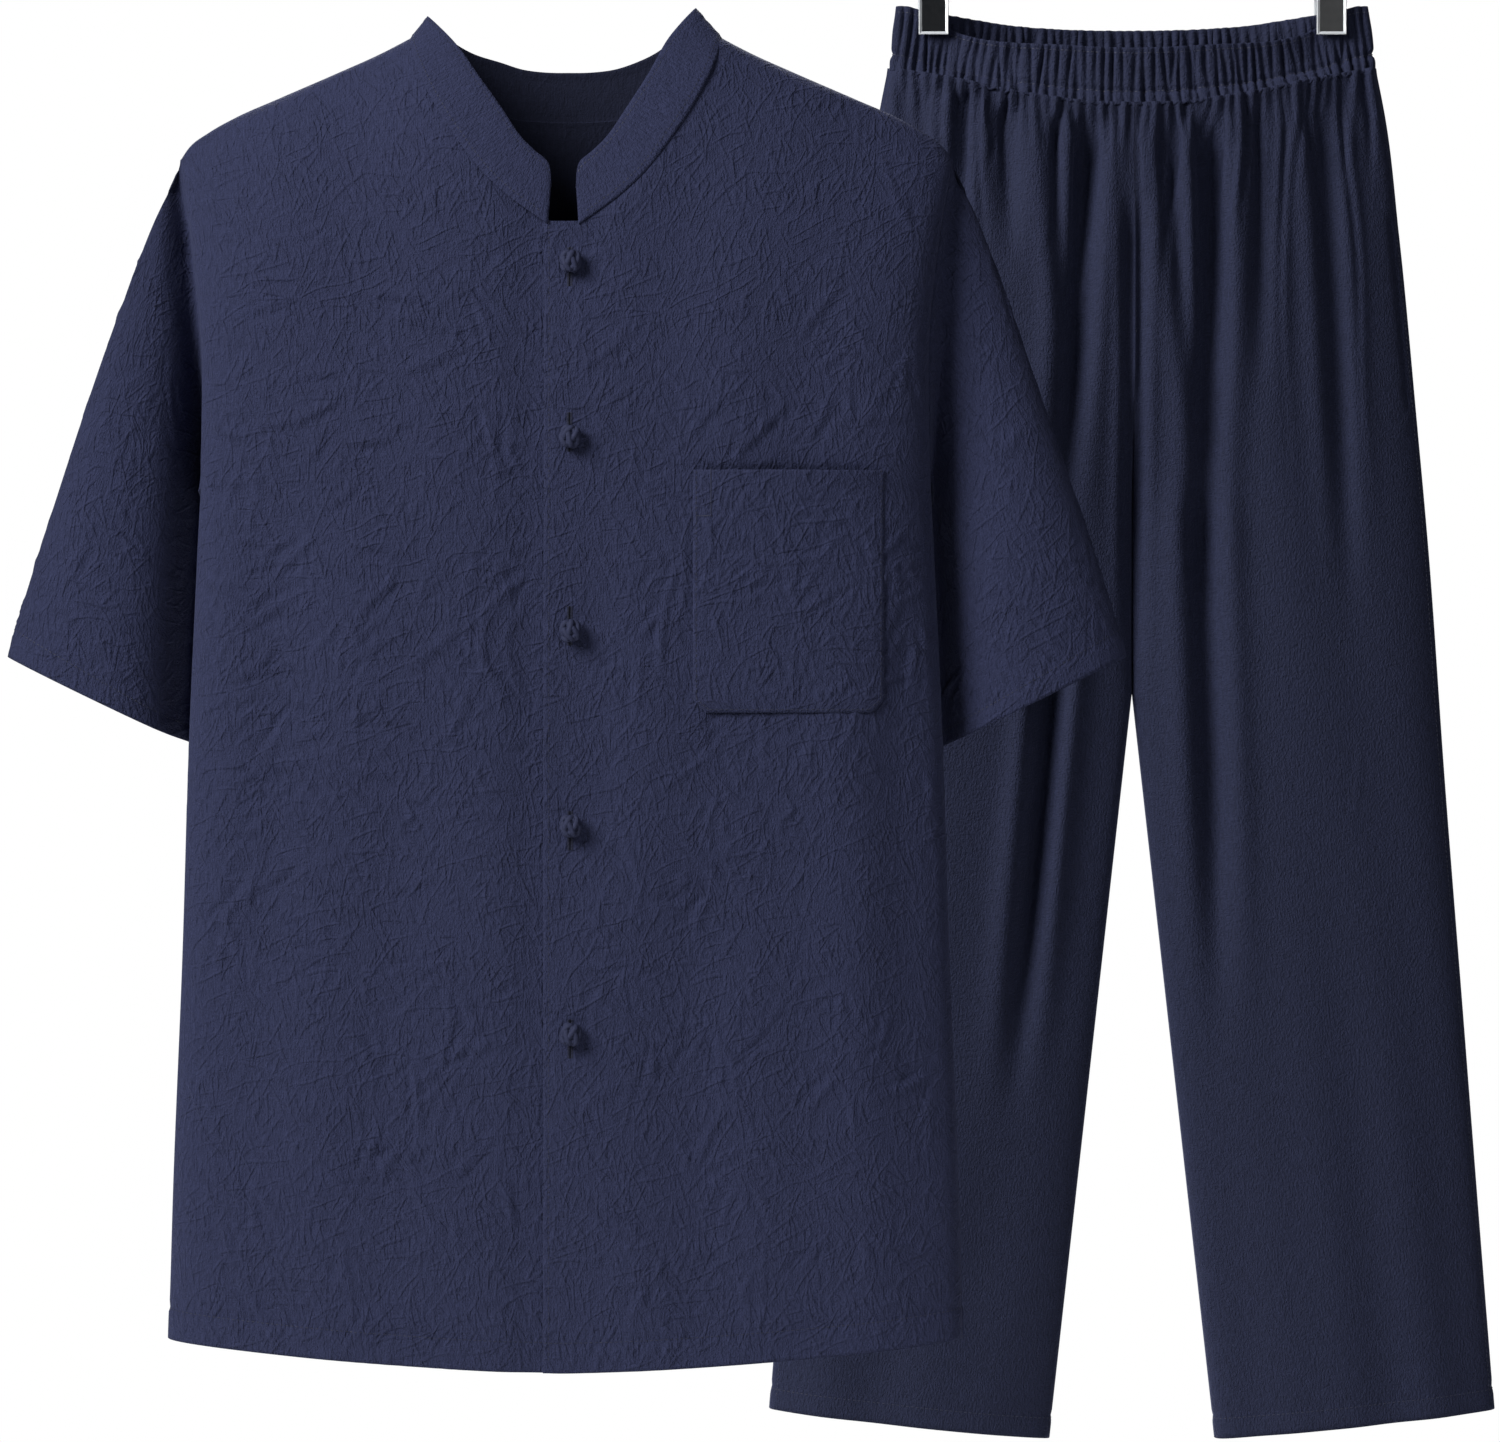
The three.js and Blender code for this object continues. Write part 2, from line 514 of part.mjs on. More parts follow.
function trouserPanel(name, face, side) {
  const rows = trouserRows(face, side);
  const last = rows[0].length - 1;
  const turn = (normal, i, j) => {
    const atOuter = face === "front" ? i === last : i === 0;
    const atInner = face === "front" ? i === 0 : i === last;
    const seamAbove = j > ROWS_BELOW_CROTCH;
    if (atOuter) normal.set(1, 0, 0);
    else if (atInner && !seamAbove) normal.set(-1, 0, 0);
    else if (atInner) normal.x = 0;
    if (j === rows.length - 1) normal.z = 0;
  };
  // A mirrored row runs the other way, so its columns and normals are read mirrored too.
  const mirroredTurn = (normal, i, j) => {
    normal.x = -normal.x;
    turn(normal, last - i, j);
    normal.x = -normal.x;
  };
  const geometry =
    side > 0 ? clothWall(rows, { turn }) : clothWall(mirrored(rows), { turn: mirroredTurn });
  return mesh(name, geometry, trouserCloth());
}

// The gathered elastic casing: one closed ring of cloth, pinched where the clips hold it.
function waistband() {
  const rows = [];
  for (let j = 0; j <= WAIST_ROWS; j++) {
    const up = j / WAIST_ROWS;
    const point = (row, face, side) => {
      const topZed = face === "front" ? row.frontZ : row.backZ;
      const depth = mix(row.topDepth, row.lowDepth, (1 - up) ** WAIST_FLARE);
      const x = side * row.share * mix(WAIST_LOW_HALF, WAIST_TOP_HALF, up);
      const y = face === "front" ? -depth : depth;
      return new THREE.Vector3(x, y, mix(row.lowZ, topZed, up));
    };
    const inside = WAIST_STATIONS.slice(1, -1);
    const end = WAIST_STATIONS[WAIST_STATIONS.length - 1];
    rows.push([
      point(WAIST_STATIONS[0], "front", 1),
      ...inside.map((row) => point(row, "front", 1)),
      point(end, "front", 1),
      ...[...inside].reverse().map((row) => point(row, "back", 1)),
      point(WAIST_STATIONS[0], "back", 1),
      ...inside.map((row) => point(row, "back", -1)),
      point(end, "front", -1),
      ...[...inside].reverse().map((row) => point(row, "front", -1)),
    ]);
  }
  const level = (normal) => {
    normal.z = 0;
  };
  return mesh("waistband", clothWall(rows, { closed: true, turn: level }), trouserCloth());
}

// ---------------------------------------------------------------- clip hanger
function clip(side) {
  const group = new THREE.Group();
  const word = side > 0 ? "left" : "right";
  for (const [face, out] of [["front", -1], ["back", 1]]) {
    const pad = mesh(
      `clip_pad_${word}_${face}`,
      new THREE.BoxGeometry(PAD.wide, PAD.thick, PAD.tall),
      rubber(),
    );
    pad.position.set(0, out * (GRIP_HALF + PAD.thick / 2), 0);
    const jaw = mesh(
      `clip_jaw_${word}_${face}`,
      new THREE.BoxGeometry(JAW.wide, JAW.thick, JAW.top - JAW.bottom),
      clearPlastic(),
    );
    pad.position.z = CLIP_Z;
    jaw.position.set(0, out * (SADDLE.inside + JAW.thick / 2), (JAW.top + JAW.bottom) / 2);
    group.add(pad, jaw);
  }
  group.add(clipSaddle(`clip_saddle_${word}`));
  group.position.x = side * CLIP_X;
  return group;
}

// The spring saddle that rides over the bar and joins a clip's two jaws.
function clipSaddle(name) {
  const outside = SADDLE.inside + JAW.thick;
  const foot = JAW.top + SEAM - SADDLE.centreZ;
  const arch = new THREE.Shape();
  arch.moveTo(outside, foot);
  arch.absarc(0, 0, outside, 0, Math.PI);
  arch.lineTo(-outside, foot);
  arch.lineTo(-SADDLE.inside, foot);
  arch.absarc(0, 0, SADDLE.inside, Math.PI, 0, true);
  arch.lineTo(SADDLE.inside, foot);
  const geometry = new THREE.ExtrudeGeometry(arch, {
    depth: SADDLE.wide,
    bevelEnabled: false,
    curveSegments: 8,
  });
  geometry.translate(0, 0, -SADDLE.wide / 2);
  geometry.rotateX(Math.PI / 2);
  geometry.rotateZ(Math.PI / 2);
  const saddle = mesh(name, geometry, steel());
  saddle.position.z = SADDLE.centreZ;
  return saddle;
}

// A round bar along X, and a wire hook that rises from its middle.
function hangerBar() {
  const geometry = new THREE.CylinderGeometry(BAR.radius, BAR.radius, 2 * BAR.half, 16);
  geometry.rotateZ(Math.PI / 2);
  const bar = mesh("hanger_bar", geometry, steel());
  bar.position.z = BAR.z;
  return bar;
}

function hangerHook() {
  const reach = HOOK.radius + HOOK.wire; // from the bend's centre to the wire's middle
  const crown = -TROUSERS_AT.z; // the crown's inner face is at the origin of the whole
  const centreZ = crown - HOOK.radius;
  const start = BAR.z + BAR.radius + SEAM;
  const path = new THREE.CurvePath();
  const bend = [];
  const from = -Math.PI / 2;
  const sweep = THREE.MathUtils.degToRad(HOOK.tail + 90);
  for (let k = 0; k <= HOOK.bends; k++) {
    const angle = from + (sweep * k) / HOOK.bends;
    bend.push(new THREE.Vector3(reach * Math.cos(angle), 0, centreZ + reach * Math.sin(angle)));
  }
  path.add(new THREE.LineCurve3(new THREE.Vector3(0, 0, start), bend[0]));
  path.add(new THREE.CatmullRomCurve3(bend));
  const section = new THREE.Shape().absarc(0, 0, HOOK.wire, 0, 2 * Math.PI);
  const geometry = new THREE.ExtrudeGeometry(section, {
    extrudePath: path,
    steps: HOOK.steps,
    curveSegments: 4,
  });
  return mesh("hanger_hook", geometry, steel());
}

// ---------------------------------------------------------------- assembly
const shirt = new THREE.Group();
shirt.add(
  shirtPanel("shirt_front_left", "front", leftFrontColumns),
  shirtPanel("shirt_front_right", "front", rightFrontColumns, lapInset),
  shirtPanel("shirt_back", "back", backColumns),
  sleeve("sleeve_left", 1),
  sleeve("sleeve_right", -1),
  standCollar(),
  chestPocket(),
  ...BUTTON_HEIGHTS.map((z, i) => knotButton(i + 1, z)),
);
shirt.position.set(SHIRT_AT.x, SHIRT_AT.y, SHIRT_AT.z);

const trousers = new THREE.Group();
trousers.add(
  trouserPanel("trouser_front_left", "front", 1),
  trouserPanel("trouser_front_right", "front", -1),
  trouserPanel("trouser_back_left", "back", 1),
  trouserPanel("trouser_back_right", "back", -1),
  waistband(),
);

const hanger = new THREE.Group();
hanger.add(clip(1), clip(-1), hangerBar(), hangerHook());
const hung = new THREE.Group();
hung.add(trousers, hanger);
hung.position.set(TROUSERS_AT.x, TROUSERS_AT.y, TROUSERS_AT.z);

const suit = new THREE.Group();
suit.add(shirt, hung);

export default suit;
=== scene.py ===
"""Looks of a hanging two-piece suit: a short-sleeved shirt with a stand collar, knot buttons and
a chest pocket, and elastic-waist trousers gripped by a clip hanger.

Forms are worked out in millimetres, each garment in its own frame, as the frame's solids are:
x runs to the wearer's left, the front faces -y and z runs up from the hem. They are turned to
metres in the shared frame when a mesh is made."""
import json
import math
from collections import namedtuple

import bmesh
import bpy
import numpy as np
from mathutils import Matrix, Vector


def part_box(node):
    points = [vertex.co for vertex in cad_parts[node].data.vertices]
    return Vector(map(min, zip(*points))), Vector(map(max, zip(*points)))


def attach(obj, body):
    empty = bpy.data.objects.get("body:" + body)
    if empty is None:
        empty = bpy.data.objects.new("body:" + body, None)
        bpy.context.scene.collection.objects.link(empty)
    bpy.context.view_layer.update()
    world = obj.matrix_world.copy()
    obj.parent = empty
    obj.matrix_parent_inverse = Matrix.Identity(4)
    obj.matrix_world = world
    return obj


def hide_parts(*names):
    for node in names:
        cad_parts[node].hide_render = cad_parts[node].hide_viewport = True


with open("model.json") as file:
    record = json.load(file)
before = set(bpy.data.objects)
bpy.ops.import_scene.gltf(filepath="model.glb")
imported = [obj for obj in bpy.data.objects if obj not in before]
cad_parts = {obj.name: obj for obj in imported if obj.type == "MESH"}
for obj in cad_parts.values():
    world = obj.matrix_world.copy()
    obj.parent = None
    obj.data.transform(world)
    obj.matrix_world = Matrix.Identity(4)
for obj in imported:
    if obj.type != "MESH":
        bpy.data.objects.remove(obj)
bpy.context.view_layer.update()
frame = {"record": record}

bl_info = {
    "name": "Stand Collar Suit",
    "version": (1, 0, 0),
    "blender": (4, 5, 0),
    "location": "3D View > Sidebar > Suit",
    "description": "Makes a hanging short-sleeved suit with knot buttons around its frame",
    "category": "Add Mesh",
}

MM = 0.001
BODY = "root"


def rows_of(columns, *rows):
    """A table of numbers as one dict for each row."""
    return [dict(zip(columns.split(), row)) for row in rows]


# ---------------------------------------------------------------- sizes, in millimetres
# Where each garment's own frame stands in the shared one.
MOUNTS = {mount["name"]: mount["pos_m"] for mount in frame["record"]["mounts"]}
SHOULDER_TOP_Z = 830
SHIRT_AT = np.array(MOUNTS["shirt_shoulders"]) / MM - (0, 0, SHOULDER_TOP_Z)
TROUSERS_AT = np.array((0, 0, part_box("trouser_front_left")[0].z / MM))

# Shirt.
SHIRT_HALF_WIDTH = 240  # from the centre line to the shoulder tip
UNDERARM_Z = 548
SHOULDER_TIP_Z = 753
HEM_CENTRE_Z = 6
HEM_SIDE_Z = 24
HEM_CURVE = 1.5
NECK_HALF_WIDTH = 94
NECK_ROOF_Z = 854.7  # meets the shoulder line at the neck with one slope
FRONT_ROLL = 3.2
BACK_ROLL = 2.2
SHOULDER_ROLL = 125
ARMHOLE_FRONT = 13
ARMHOLE_BACK = 22
ARMHOLE_OPENING = 3
PLACKET_X = -12.4  # edge of the wearer's left front, which laps over the right
FRONT_WIDE = SHIRT_HALF_WIDTH - PLACKET_X
LAP_DEPTH = 2.9
LAP_BLEND = 30
LAP_FULL = 1
LAP_PRESSED = 0.15  # how much of the under front's relief is left where the lap presses it
SHIRT_SECTIONS = rows_of(
    "z half front back",
    (0, 247, 42, 42),
    (110, 244, 44, 44),
    (260, 238, 47, 46),
    (390, 234, 50, 47),
    (500, 229, 53, 48),
    (590, 225, 54, 49),
    (640, 225, 53, 49),
    (700, 231, 50, 48),
    (753, 240, 48, 47),
)
SHOULDER_LINE = rows_of(
    "x z",
    (94, 830),
    (113, 820),
    (143, 806.5),
    (180, 790.5),
    (205, 779.5),
    (222, 770),
    (234, 761),
    (240, 753),
)
# The neck seam and the collar's top edge at each column, for the front (f) and the back (b).
NECK_STATIONS = rows_of(
    "x f_z f_top_x f_top_z b_z b_top_x b_top_z",
    (9, 710, 7, 740, 781.4, 8, 812),
    (20, 718, 10, 747, 782, 18, 812.5),
    (32, 727, 17, 753, 783, 29, 814),
    (46, 740, 26, 762, 787, 42, 818),
    (63, 762, 38, 780, 794, 57, 825),
    (77, 784, 51, 801, 803, 68, 834),
    (90, 812, 64, 826, 818, 77, 843),
    (94, 830, 80, 847, 830, 80, 847),
)
COLLAR_LEAN = 4
COLLAR_LEAN_FROM = 20
COLLAR_TUCK = 2.0  # how far the band's lower edge runs down past the neck seam
COLLAR_PROUD = 0.9  # how far it stands out from the panels there
COLLAR_LEAN_OUT = (-6, 0, -5)  # how the wearer's right side of the band leans out at its top
COLLAR_CORNER = 9  # radius of the rounded front corners at the top

Fold = namedtuple("Fold", "face side x low_x top_z low_z depth width")
# Soft upright troughs in the hanging shirt: depth is positive inwards.
SHIRT_FOLDS = [
    Fold("front", 0, -178, -186, 560, 60, 5, 26),
    Fold("front", 0, 210, 206, 500, 20, 3, 18),
    Fold("front", 0, -96, -120, 420, -20, 3, 30),
    Fold("front", 0, 92, 84, 330, -20, 3, 32),
    Fold("back", 0, -120, -140, 600, -20, 6, 32),
    Fold("back", 0, 24, 10, 560, -20, 5, 36),
    Fold("back", 0, 130, 150, 590, -20, 6, 30),
]

# Sleeve.
CUFF_OUTER_X = 348
CUFF_OUTER_Z = 445
CUFF_INNER_Z = 388
SLEEVE_DEPTH = 25
SLEEVE_TUCK = {-1: 25, 1: 12}
SLEEVE_TUCK_SHARE = 0.1
SLEEVE_BEHIND = 2.6
SLEEVE_OUTER_Y = 13
SLEEVE_FULL_SHARE = 0.7
SLEEVE_HEAD_SHARE = 0.2
SLEEVE_BOW = 5  # how far its outer line bows out between shoulder and cuff
SLEEVE_FALL = {-1: 30, 1: 10}  # how far each inner edge falls back behind the body
SLEEVE_FALL_WIDTH = 10
SLEEVE_DIP = {-1: 21, 1: 4}  # and how far each front dips back beside the armhole seam
SLEEVE_DIP_SHARE = 0.75
SLEEVE_DIP_AT = 4.5
SLEEVE_LONG = 320
SLEEVE_ROUND = 330

# Stand collar, laid flat.
COLLAR_LONG = 480
COLLAR_TALL = 34

# Chest pocket.
POCKET_LEFT = 79
POCKET_RIGHT = 196
POCKET_BOTTOM = 410
POCKET_TOP = 558
POCKET_WIDE = POCKET_RIGHT - POCKET_LEFT
POCKET_TALL = POCKET_TOP - POCKET_BOTTOM
POCKET_CORNER = 8
POCKET_THICK = 0.9
POCKET_LIFT = 1.9  # its outer face stands this far out from the front's
POCKET_GAPE = 3.4
GAPE_CURVE = 4
MOUTH_DEPTH = 3.4  # how far the front sinks in behind the pocket's mouth

# Knot buttons and their buttonholes.
BUTTON_X = 4.5
BUTTON_HEIGHTS = [685, 578, 460, 341, 214]
KNOT_WIDE = 6.5
KNOT_DEEP = 5
KNOT_TALL = 8
KNOT_CORD = 1.9  # radius of the cord
KNOT_LEADS = 3
KNOT_BIGHTS = 5
KNOT_RISE = 0.98  # how near the cord's turns come to the knot's poles
KNOT_WAIST = 0.86
KNOT_SWELL = 0.13
KNOT_SQUASH = 0.9
KNOT_TILT = 0.2
KNOT_CORE = 1.12  # size of the core inside the cord's centre line, as a share
KNOT_CLEAR = 0.3
HOLE_LENGTH = 24
HOLE_DROP = 3  # how far the slit's middle lies above or below the knot's
HOLE_ASIDE = 1.1  # from the slit's line to the stitches across its edges
HOLE_STITCH = (1.5, 0.5, 0.7)
HOLE_SLIT = (1.8, 0.9, 0.5)

# Trousers.
CROTCH_Z = 571
TROUSER_HEM_RISE = 19
LEG_TOUCH_Z = 475
LEG_SPREAD = 0.1115
LEG_GAP = 0
LEG_SECTIONS = rows_of(
    "z outer depth",
    (0, 234, 25),
    (113, 225, 24),
    (267, 213, 23),
    (420, 201, 24),
    (574, 190, 26),
    (651, 183, 28),
    (766, 172, 30),
    (843, 163, 29),
    (874, 157, 27),
)
LEG_ROLL = 2.6
CROTCH_CURVE = 120
WAIST_BLEND_LOW = 740
WAIST_BLEND_HIGH = 860
WAIST_TOP_HALF = 151
WAIST_LOW_HALF = 157
WAIST_FLARE = 4
WAIST_ROUND_FROM = 0.97  # share from which the waist's sides are round
WAIST_ROUND_TOP = 3
WAIST_ROUND_LOW = 8
WAIST_STATIONS = rows_of(
    "share top low front_z back_z low_z",
    (0, 20, 27, 886, 902, 849),
    (0.16, 19.6, 26.6, 886.8, 902.2, 850),
    (0.34, 17.8, 25.4, 888.5, 903, 853.5),
    (0.5, 14.5, 23.8, 890, 904.5, 858),
    (0.64, 9.5, 21.2, 893, 907, 863),
    (0.77, 3.2, 17, 900, 909.5, 867.5),
    (0.84, 3.2, 14.5, 907, 911.5, 869.5),
    (0.91, 3.2, 11.5, 913, 913.5, 871.5),
    (0.97, 3, 8, 915, 915, 873.2),
    (1, 0, 0, 915, 915, 874),
)
# Gathers and long soft folds of the trousers: depth is positive inwards.
TROUSER_FOLDS = [
    Fold("front", -1, 29, 48, 850, 540, 8, 8),
    Fold("front", -1, 52, 47, 845, 690, 4, 5),
    Fold("front", -1, 82, 78, 855, 735, 4, 7),
    Fold("front", -1, 109, 112, 862, 770, 6, 6),
    Fold("front", -1, 132, 140, 865, 740, 3, 7),
    Fold("front", -1, 47, 80, 545, 190, 11, 8),
    Fold("front", 1, 50, 44, 855, 500, 8, 8),
    Fold("front", 1, 42, 57, 620, 230, 7, 9),
    Fold("front", 1, 20, 38, 850, 620, 4, 6),
    Fold("front", 1, 77, 80, 860, 640, 4, 7),
    Fold("front", 1, 118, 140, 865, 500, 7, 7),
    Fold("front", 0, 3, 3, 800, 450, 3, 4),
    Fold("back", -1, 30, 38, 850, 640, 5, 10),
    Fold("back", -1, 84, 92, 858, 610, 6, 11),
    Fold("back", -1, 126, 136, 864, 690, 4, 8),
    Fold("back", 1, 44, 50, 853, 600, 6, 11),
    Fold("back", 1, 96, 104, 860, 660, 5, 10),
    Fold("back", 1, 132, 142, 864, 720, 3, 8),
]
TROUSER_FOLD_GAIN = 1.8
FOLD_START = 0.12
FOLD_FADE = 0.45
FOLD_LIP = 0.3  # height of the soft ridges beside a trough, as a share of its depth

# Gathers that hang from the casing: lengths and how common each is, depths, widths and steps.
GATHER_LONG = (24, 40, 70, 130)
GATHER_SHARES = (0.35, 0.3, 0.22, 0.13)
GATHER_LEAN = 0.05
GATHER_DEEP = (1.6, 4.2)
GATHER_WIDE = (1.8, 3.0)
GATHER_STEP = (0.7, 1.35)

# The side pockets' mouths, just in front of the side seams.
POCKET_SLIT_LOW = 655
POCKET_SLIT_HIGH = 782
POCKET_SLIT_INSET = 7.5

# Clips, bar and hook.
JAW_ROUND = 0.5
JAW_RIM = 2.2
JAW_SUNK = 0.9
PAD_CUTS = 15
PAD_GROOVE = 0.72
SADDLE_INSET = 1.2
SADDLE_THICK = 1.8
SADDLE_ROUND = 0.4
BAR_ROUND = 0.8
HOOK_WIRE = 1.7
HOOK_INSIDE = 23
HOOK_BEND = 200  # in degrees
HOOK_CLEAR = 0.3

# Hems, seams and stitches.
SHIRT_HEM = 18.5
SLEEVE_HEM = 17.5
TROUSER_HEM = 13
TROUSER_LONG = 860
CASING_STITCH = 9.5
CASING_TOP_STITCH = 3.5
STITCH_PITCH = 3.1
STITCH_LONG = 2.2
STITCH_WIDE = 0.55
STITCH_HIGH = 0.45
STITCH_INSET = 2.0  # from an edge to its row of stitches
STITCH_SIZE = (STITCH_LONG, STITCH_WIDE, STITCH_HIGH)
PLACKET_STITCH = 3.2
TACK_WIDE = 11
TACK_TALL = 28
TACK_PITCH = 1.6
CASING_OVERLAP = 1.5
CASING_GATHERS = 112
CASING_TALL = 37
CASING_FULLNESS = 1.25
CASING_STEP = (0.6, 1.4)
CASING_DEEP = (1.6, 3.4)
CASING_WIDE = (0.0016, 0.0028)  # as shares of the way round
CLIP_AT = 0.84  # where the clips press the gathers flat, as a share of the waist's half width
CLIP_GRIP = 0.65

# Relief beside hems, seams and edges: depths, and half widths of the dips.
HEM_FULL = 0.35
HEM_DIP = 0.8
HEM_DIP_WIDE = 1.7
HEM_WAVE = 0.5
HEM_WAVE_RUN = 17
HEM_WAVE_TALL = 26
SEAM_DIP = 0.6
NECK_DIP = 0.5
SEAM_WIDE = 2.5
PLACKET_DIP = 0.45
PLACKET_DIP_WIDE = 1.5
ARMHOLE_DIP = 0.7
ARMHOLE_DIP_WIDE = 3
COLLAR_FULL = 0.5
COLLAR_DIP = 0.35
POCKET_DIP = 0.3
LEG_SEAM_DIP = 0.8
LEG_SEAM_WIDE = 2.2
SLIT_DIP = 1.5
SLIT_WIDE = 1.5
SLIT_FADE = 6

# Shares of a grid that crowd towards its round edges.
SIDE_CROWD = 0.04
SHOULDER_CROWD = 0.03

# ---------------------------------------------------------------- main creases
Crease = namedtuple("Crease", "x1 z1 x2 z2 high wide")
# The creases that stand out most on the shirt's front, each from one end to the other.
FRONT_CREASES = [
    Crease(*row)
    for row in (
        (-197, 662, -163, 669, 1.0, 2.6), (-200, 654, -160, 664, 1.2, 2.8),
        (-190, 674, -164, 676, 0.8, 2.4), (-125, 667, -76, 662, 1.2, 2.6),
        (-95, 651, -52, 642, 1.0, 2.4), (-70, 639, -49, 631, 0.9, 2.2),
        (-98, 617, -67, 631, 1.1, 2.6), (-108, 617, -101, 602, 0.8, 2.2),
        (-161, 616, -136, 618, 1.0, 2.4), (-188, 585, -163, 588, 1.1, 2.6),
        (-163, 588, -139, 600, 1.2, 2.6), (-214, 584, -192, 578, 1.1, 2.8),
        (-132, 575, -101, 578, 1.1, 2.6), (-129, 602, -119, 584, 0.8, 2.2),
        (-107, 583, -92, 588, 0.9, 2.2), (-79, 569, -52, 557, 1.1, 2.6),
        (-68, 572, -45, 566, 0.9, 2.2), (-43, 557, -14, 565, 0.8, 2.4),
        (-37, 621, -21, 616, 0.7, 2.2), (-145, 534, -124, 551, 0.9, 2.4),
        (-154, 565, -145, 584, 0.8, 2.2), (-124, 514, -86, 504, 1.0, 2.6),
        (-200, 516, -184, 514, 0.8, 2.2), (-184, 506, -167, 517, 0.9, 2.4),
        (-187, 483, -151, 520, 1.0, 2.6), (-154, 507, -139, 483, 0.9, 2.4),
        (-145, 510, -127, 491, 1.0, 2.4), (-107, 485, -101, 501, 0.8, 2.2),
        (-87, 491, -73, 504, 0.8, 2.2), (-43, 529, -14, 514, 0.9, 2.4),
        (-58, 479, -52, 513, 0.8, 2.4), (-184, 568, -175, 550, 0.8, 2.4),
        (-191, 478, -164, 494, 0.9, 2.4), (-194, 462, -166, 482, 0.9, 2.4),
        (-153, 490, -130, 466, 1.0, 2.6), (-127, 466, -104, 491, 1.0, 2.6),
        (-90, 476, -71, 497, 0.9, 2.4), (-92, 438, -64, 460, 1.1, 2.8),
        (-111, 447, -98, 438, 0.8, 2.2), (-59, 462, -52, 426, 1.0, 2.4),
        (-55, 459, -37, 414, 1.0, 2.4), (-40, 478, -33, 463, 0.7, 2.2),
        (-164, 420, -145, 407, 1.0, 2.4), (-130, 404, -111, 416, 1.1, 2.6),
        (-122, 407, -93, 405, 1.0, 2.4), (-167, 392, -142, 401, 0.9, 2.4),
        (-127, 376, -102, 371, 1.1, 2.6), (-204, 377, -154, 380, 0.8, 2.6),
        (-203, 429, -175, 448, 0.9, 2.6), (-225, 410, -203, 419, 0.8, 2.4),
        (-73, 395, -36, 399, 1.0, 2.6), (-43, 395, -14, 386, 0.8, 2.4),
        (-30, 425, -15, 413, 0.8, 2.2), (-176, 352, -157, 334, 0.8, 2.6),
        (-191, 300, -159, 324, 0.9, 2.6), (-127, 327, -116, 312, 0.8, 2.2),
        (-107, 300, -83, 308, 0.9, 2.4), (87, 654, 116, 653, 0.9, 2.4),
        (145, 640, 168, 670, 1.0, 2.4), (76, 579, 99, 604, 1.0, 2.4),
        (107, 569, 134, 597, 1.1, 2.6), (17, 598, 28, 579, 0.8, 2.2),
        (9, 618, 31, 634, 0.8, 2.4), (170, 654, 188, 632, 0.9, 2.4),
        (26, 598, 42, 609, 0.8, 2.2), (60, 622, 79, 601, 0.9, 2.4),
        (54, 595, 70, 586, 0.8, 2.2), (71, 566, 87, 562, 0.9, 2.2),
        (149, 576, 165, 603, 0.9, 2.4), (187, 592, 207, 590, 0.8, 2.4),
        (131, 673, 138, 659, 0.8, 2.2),
    )
]
BURST_REACH = 26  # how far from a burst's centre its creases lie
BURST_LINES = (4, 10)
BURST_HANGING = 0.6  # share of the bursts that run downwards, give or take BURST_LEAN
BURST_LEAN = 0.5
BURST_SPREAD = 0.55
BURST_TURN = 0.18
BURST_RUN = (14, 46)
BURST_WIDE = (1.5, 2.3)
CREASE_BOW = 0.0022
CREASE_TROUGH = 0.6  # the trough beside a ridge: its depth as a share of the ridge's height
CREASE_TROUGH_AT = 1.9  # and its place and width, in the ridge's widths
CREASE_TROUGH_WIDE = 1.2
MAIN_CREASE_GAIN = 1.4
CREASE_LIMIT = 2.4  # how high creases that cross can pile up

# ---------------------------------------------------------------- helpers for forms


def smoothstep(low, high, value):
    share = np.clip((value - low) / (high - low), 0, 1)
    return share * share * (3 - 2 * share)


def mix(a, b, share):
    return a + (b - a) * share


def bump(distance, width):
    """A round bump, 1 high, that is as wide as its width on each side."""
    return np.exp(-((distance / width) ** 2))


def through(table, key, column, at):
    """A smooth curve through one column of a table whose rows rise in the key column."""
    keys = np.array([row[key] for row in table], float)
    values = np.array([row[column] for row in table], float)
    slopes = np.gradient(values, keys)
    i = np.clip(np.searchsorted(keys, at) - 1, 0, len(keys) - 2)
    span = keys[i + 1] - keys[i]
    t = np.clip((at - keys[i]) / span, 0, 1)
    rest = 1 - t
    ends = values[i] * (1 + 2 * t) * rest**2 + values[i + 1] * (3 - 2 * t) * t**2
    return ends + span * t * rest * (slopes[i] * rest - slopes[i + 1] * t)


def crowd(share, tail):
    """A share that is spread evenly, crowded towards 1."""
    rest = 1 - share
    return 1 - rest**2 * (1 + tail) / (rest + tail)


def uncrowd(share, tail):
    """The even share that crowd moves to this one."""
    rest = 1 - share
    return 1 - (rest + np.sqrt(rest**2 + 4 * (1 + tail) * tail * rest)) / (2 * (1 + tail))


def crowd_both(share, tail):
    """A share from 0 to 1, crowded towards both ends, as a side from -1 to 1."""
    side = 2 * share - 1
    return np.sign(side) * crowd(np.abs(side), tail)


def fold_depth(folds, face, side, x, z, gain=1):
    """How far the folds of one face push the cloth in at each place."""
    depth = np.zeros(x.shape)
    for fold in folds:
        if fold.face != face or (fold.side and fold.side != side):
            continue
        along = (fold.top_z - z) / (fold.top_z - fold.low_z)
        inside = (along >= 0) & (along <= 1)
        off = x - mix(fold.x, fold.low_x, along)
        strength = smoothstep(0, FOLD_START, along) * (1 - smoothstep(FOLD_FADE, 1, along))
        lips = bump(np.abs(off) - 2 * fold.width, fold.width)
        profile = bump(off, fold.width) - FOLD_LIP * lips
        depth += np.where(inside, gain * fold.depth * strength * profile, 0)
    return depth


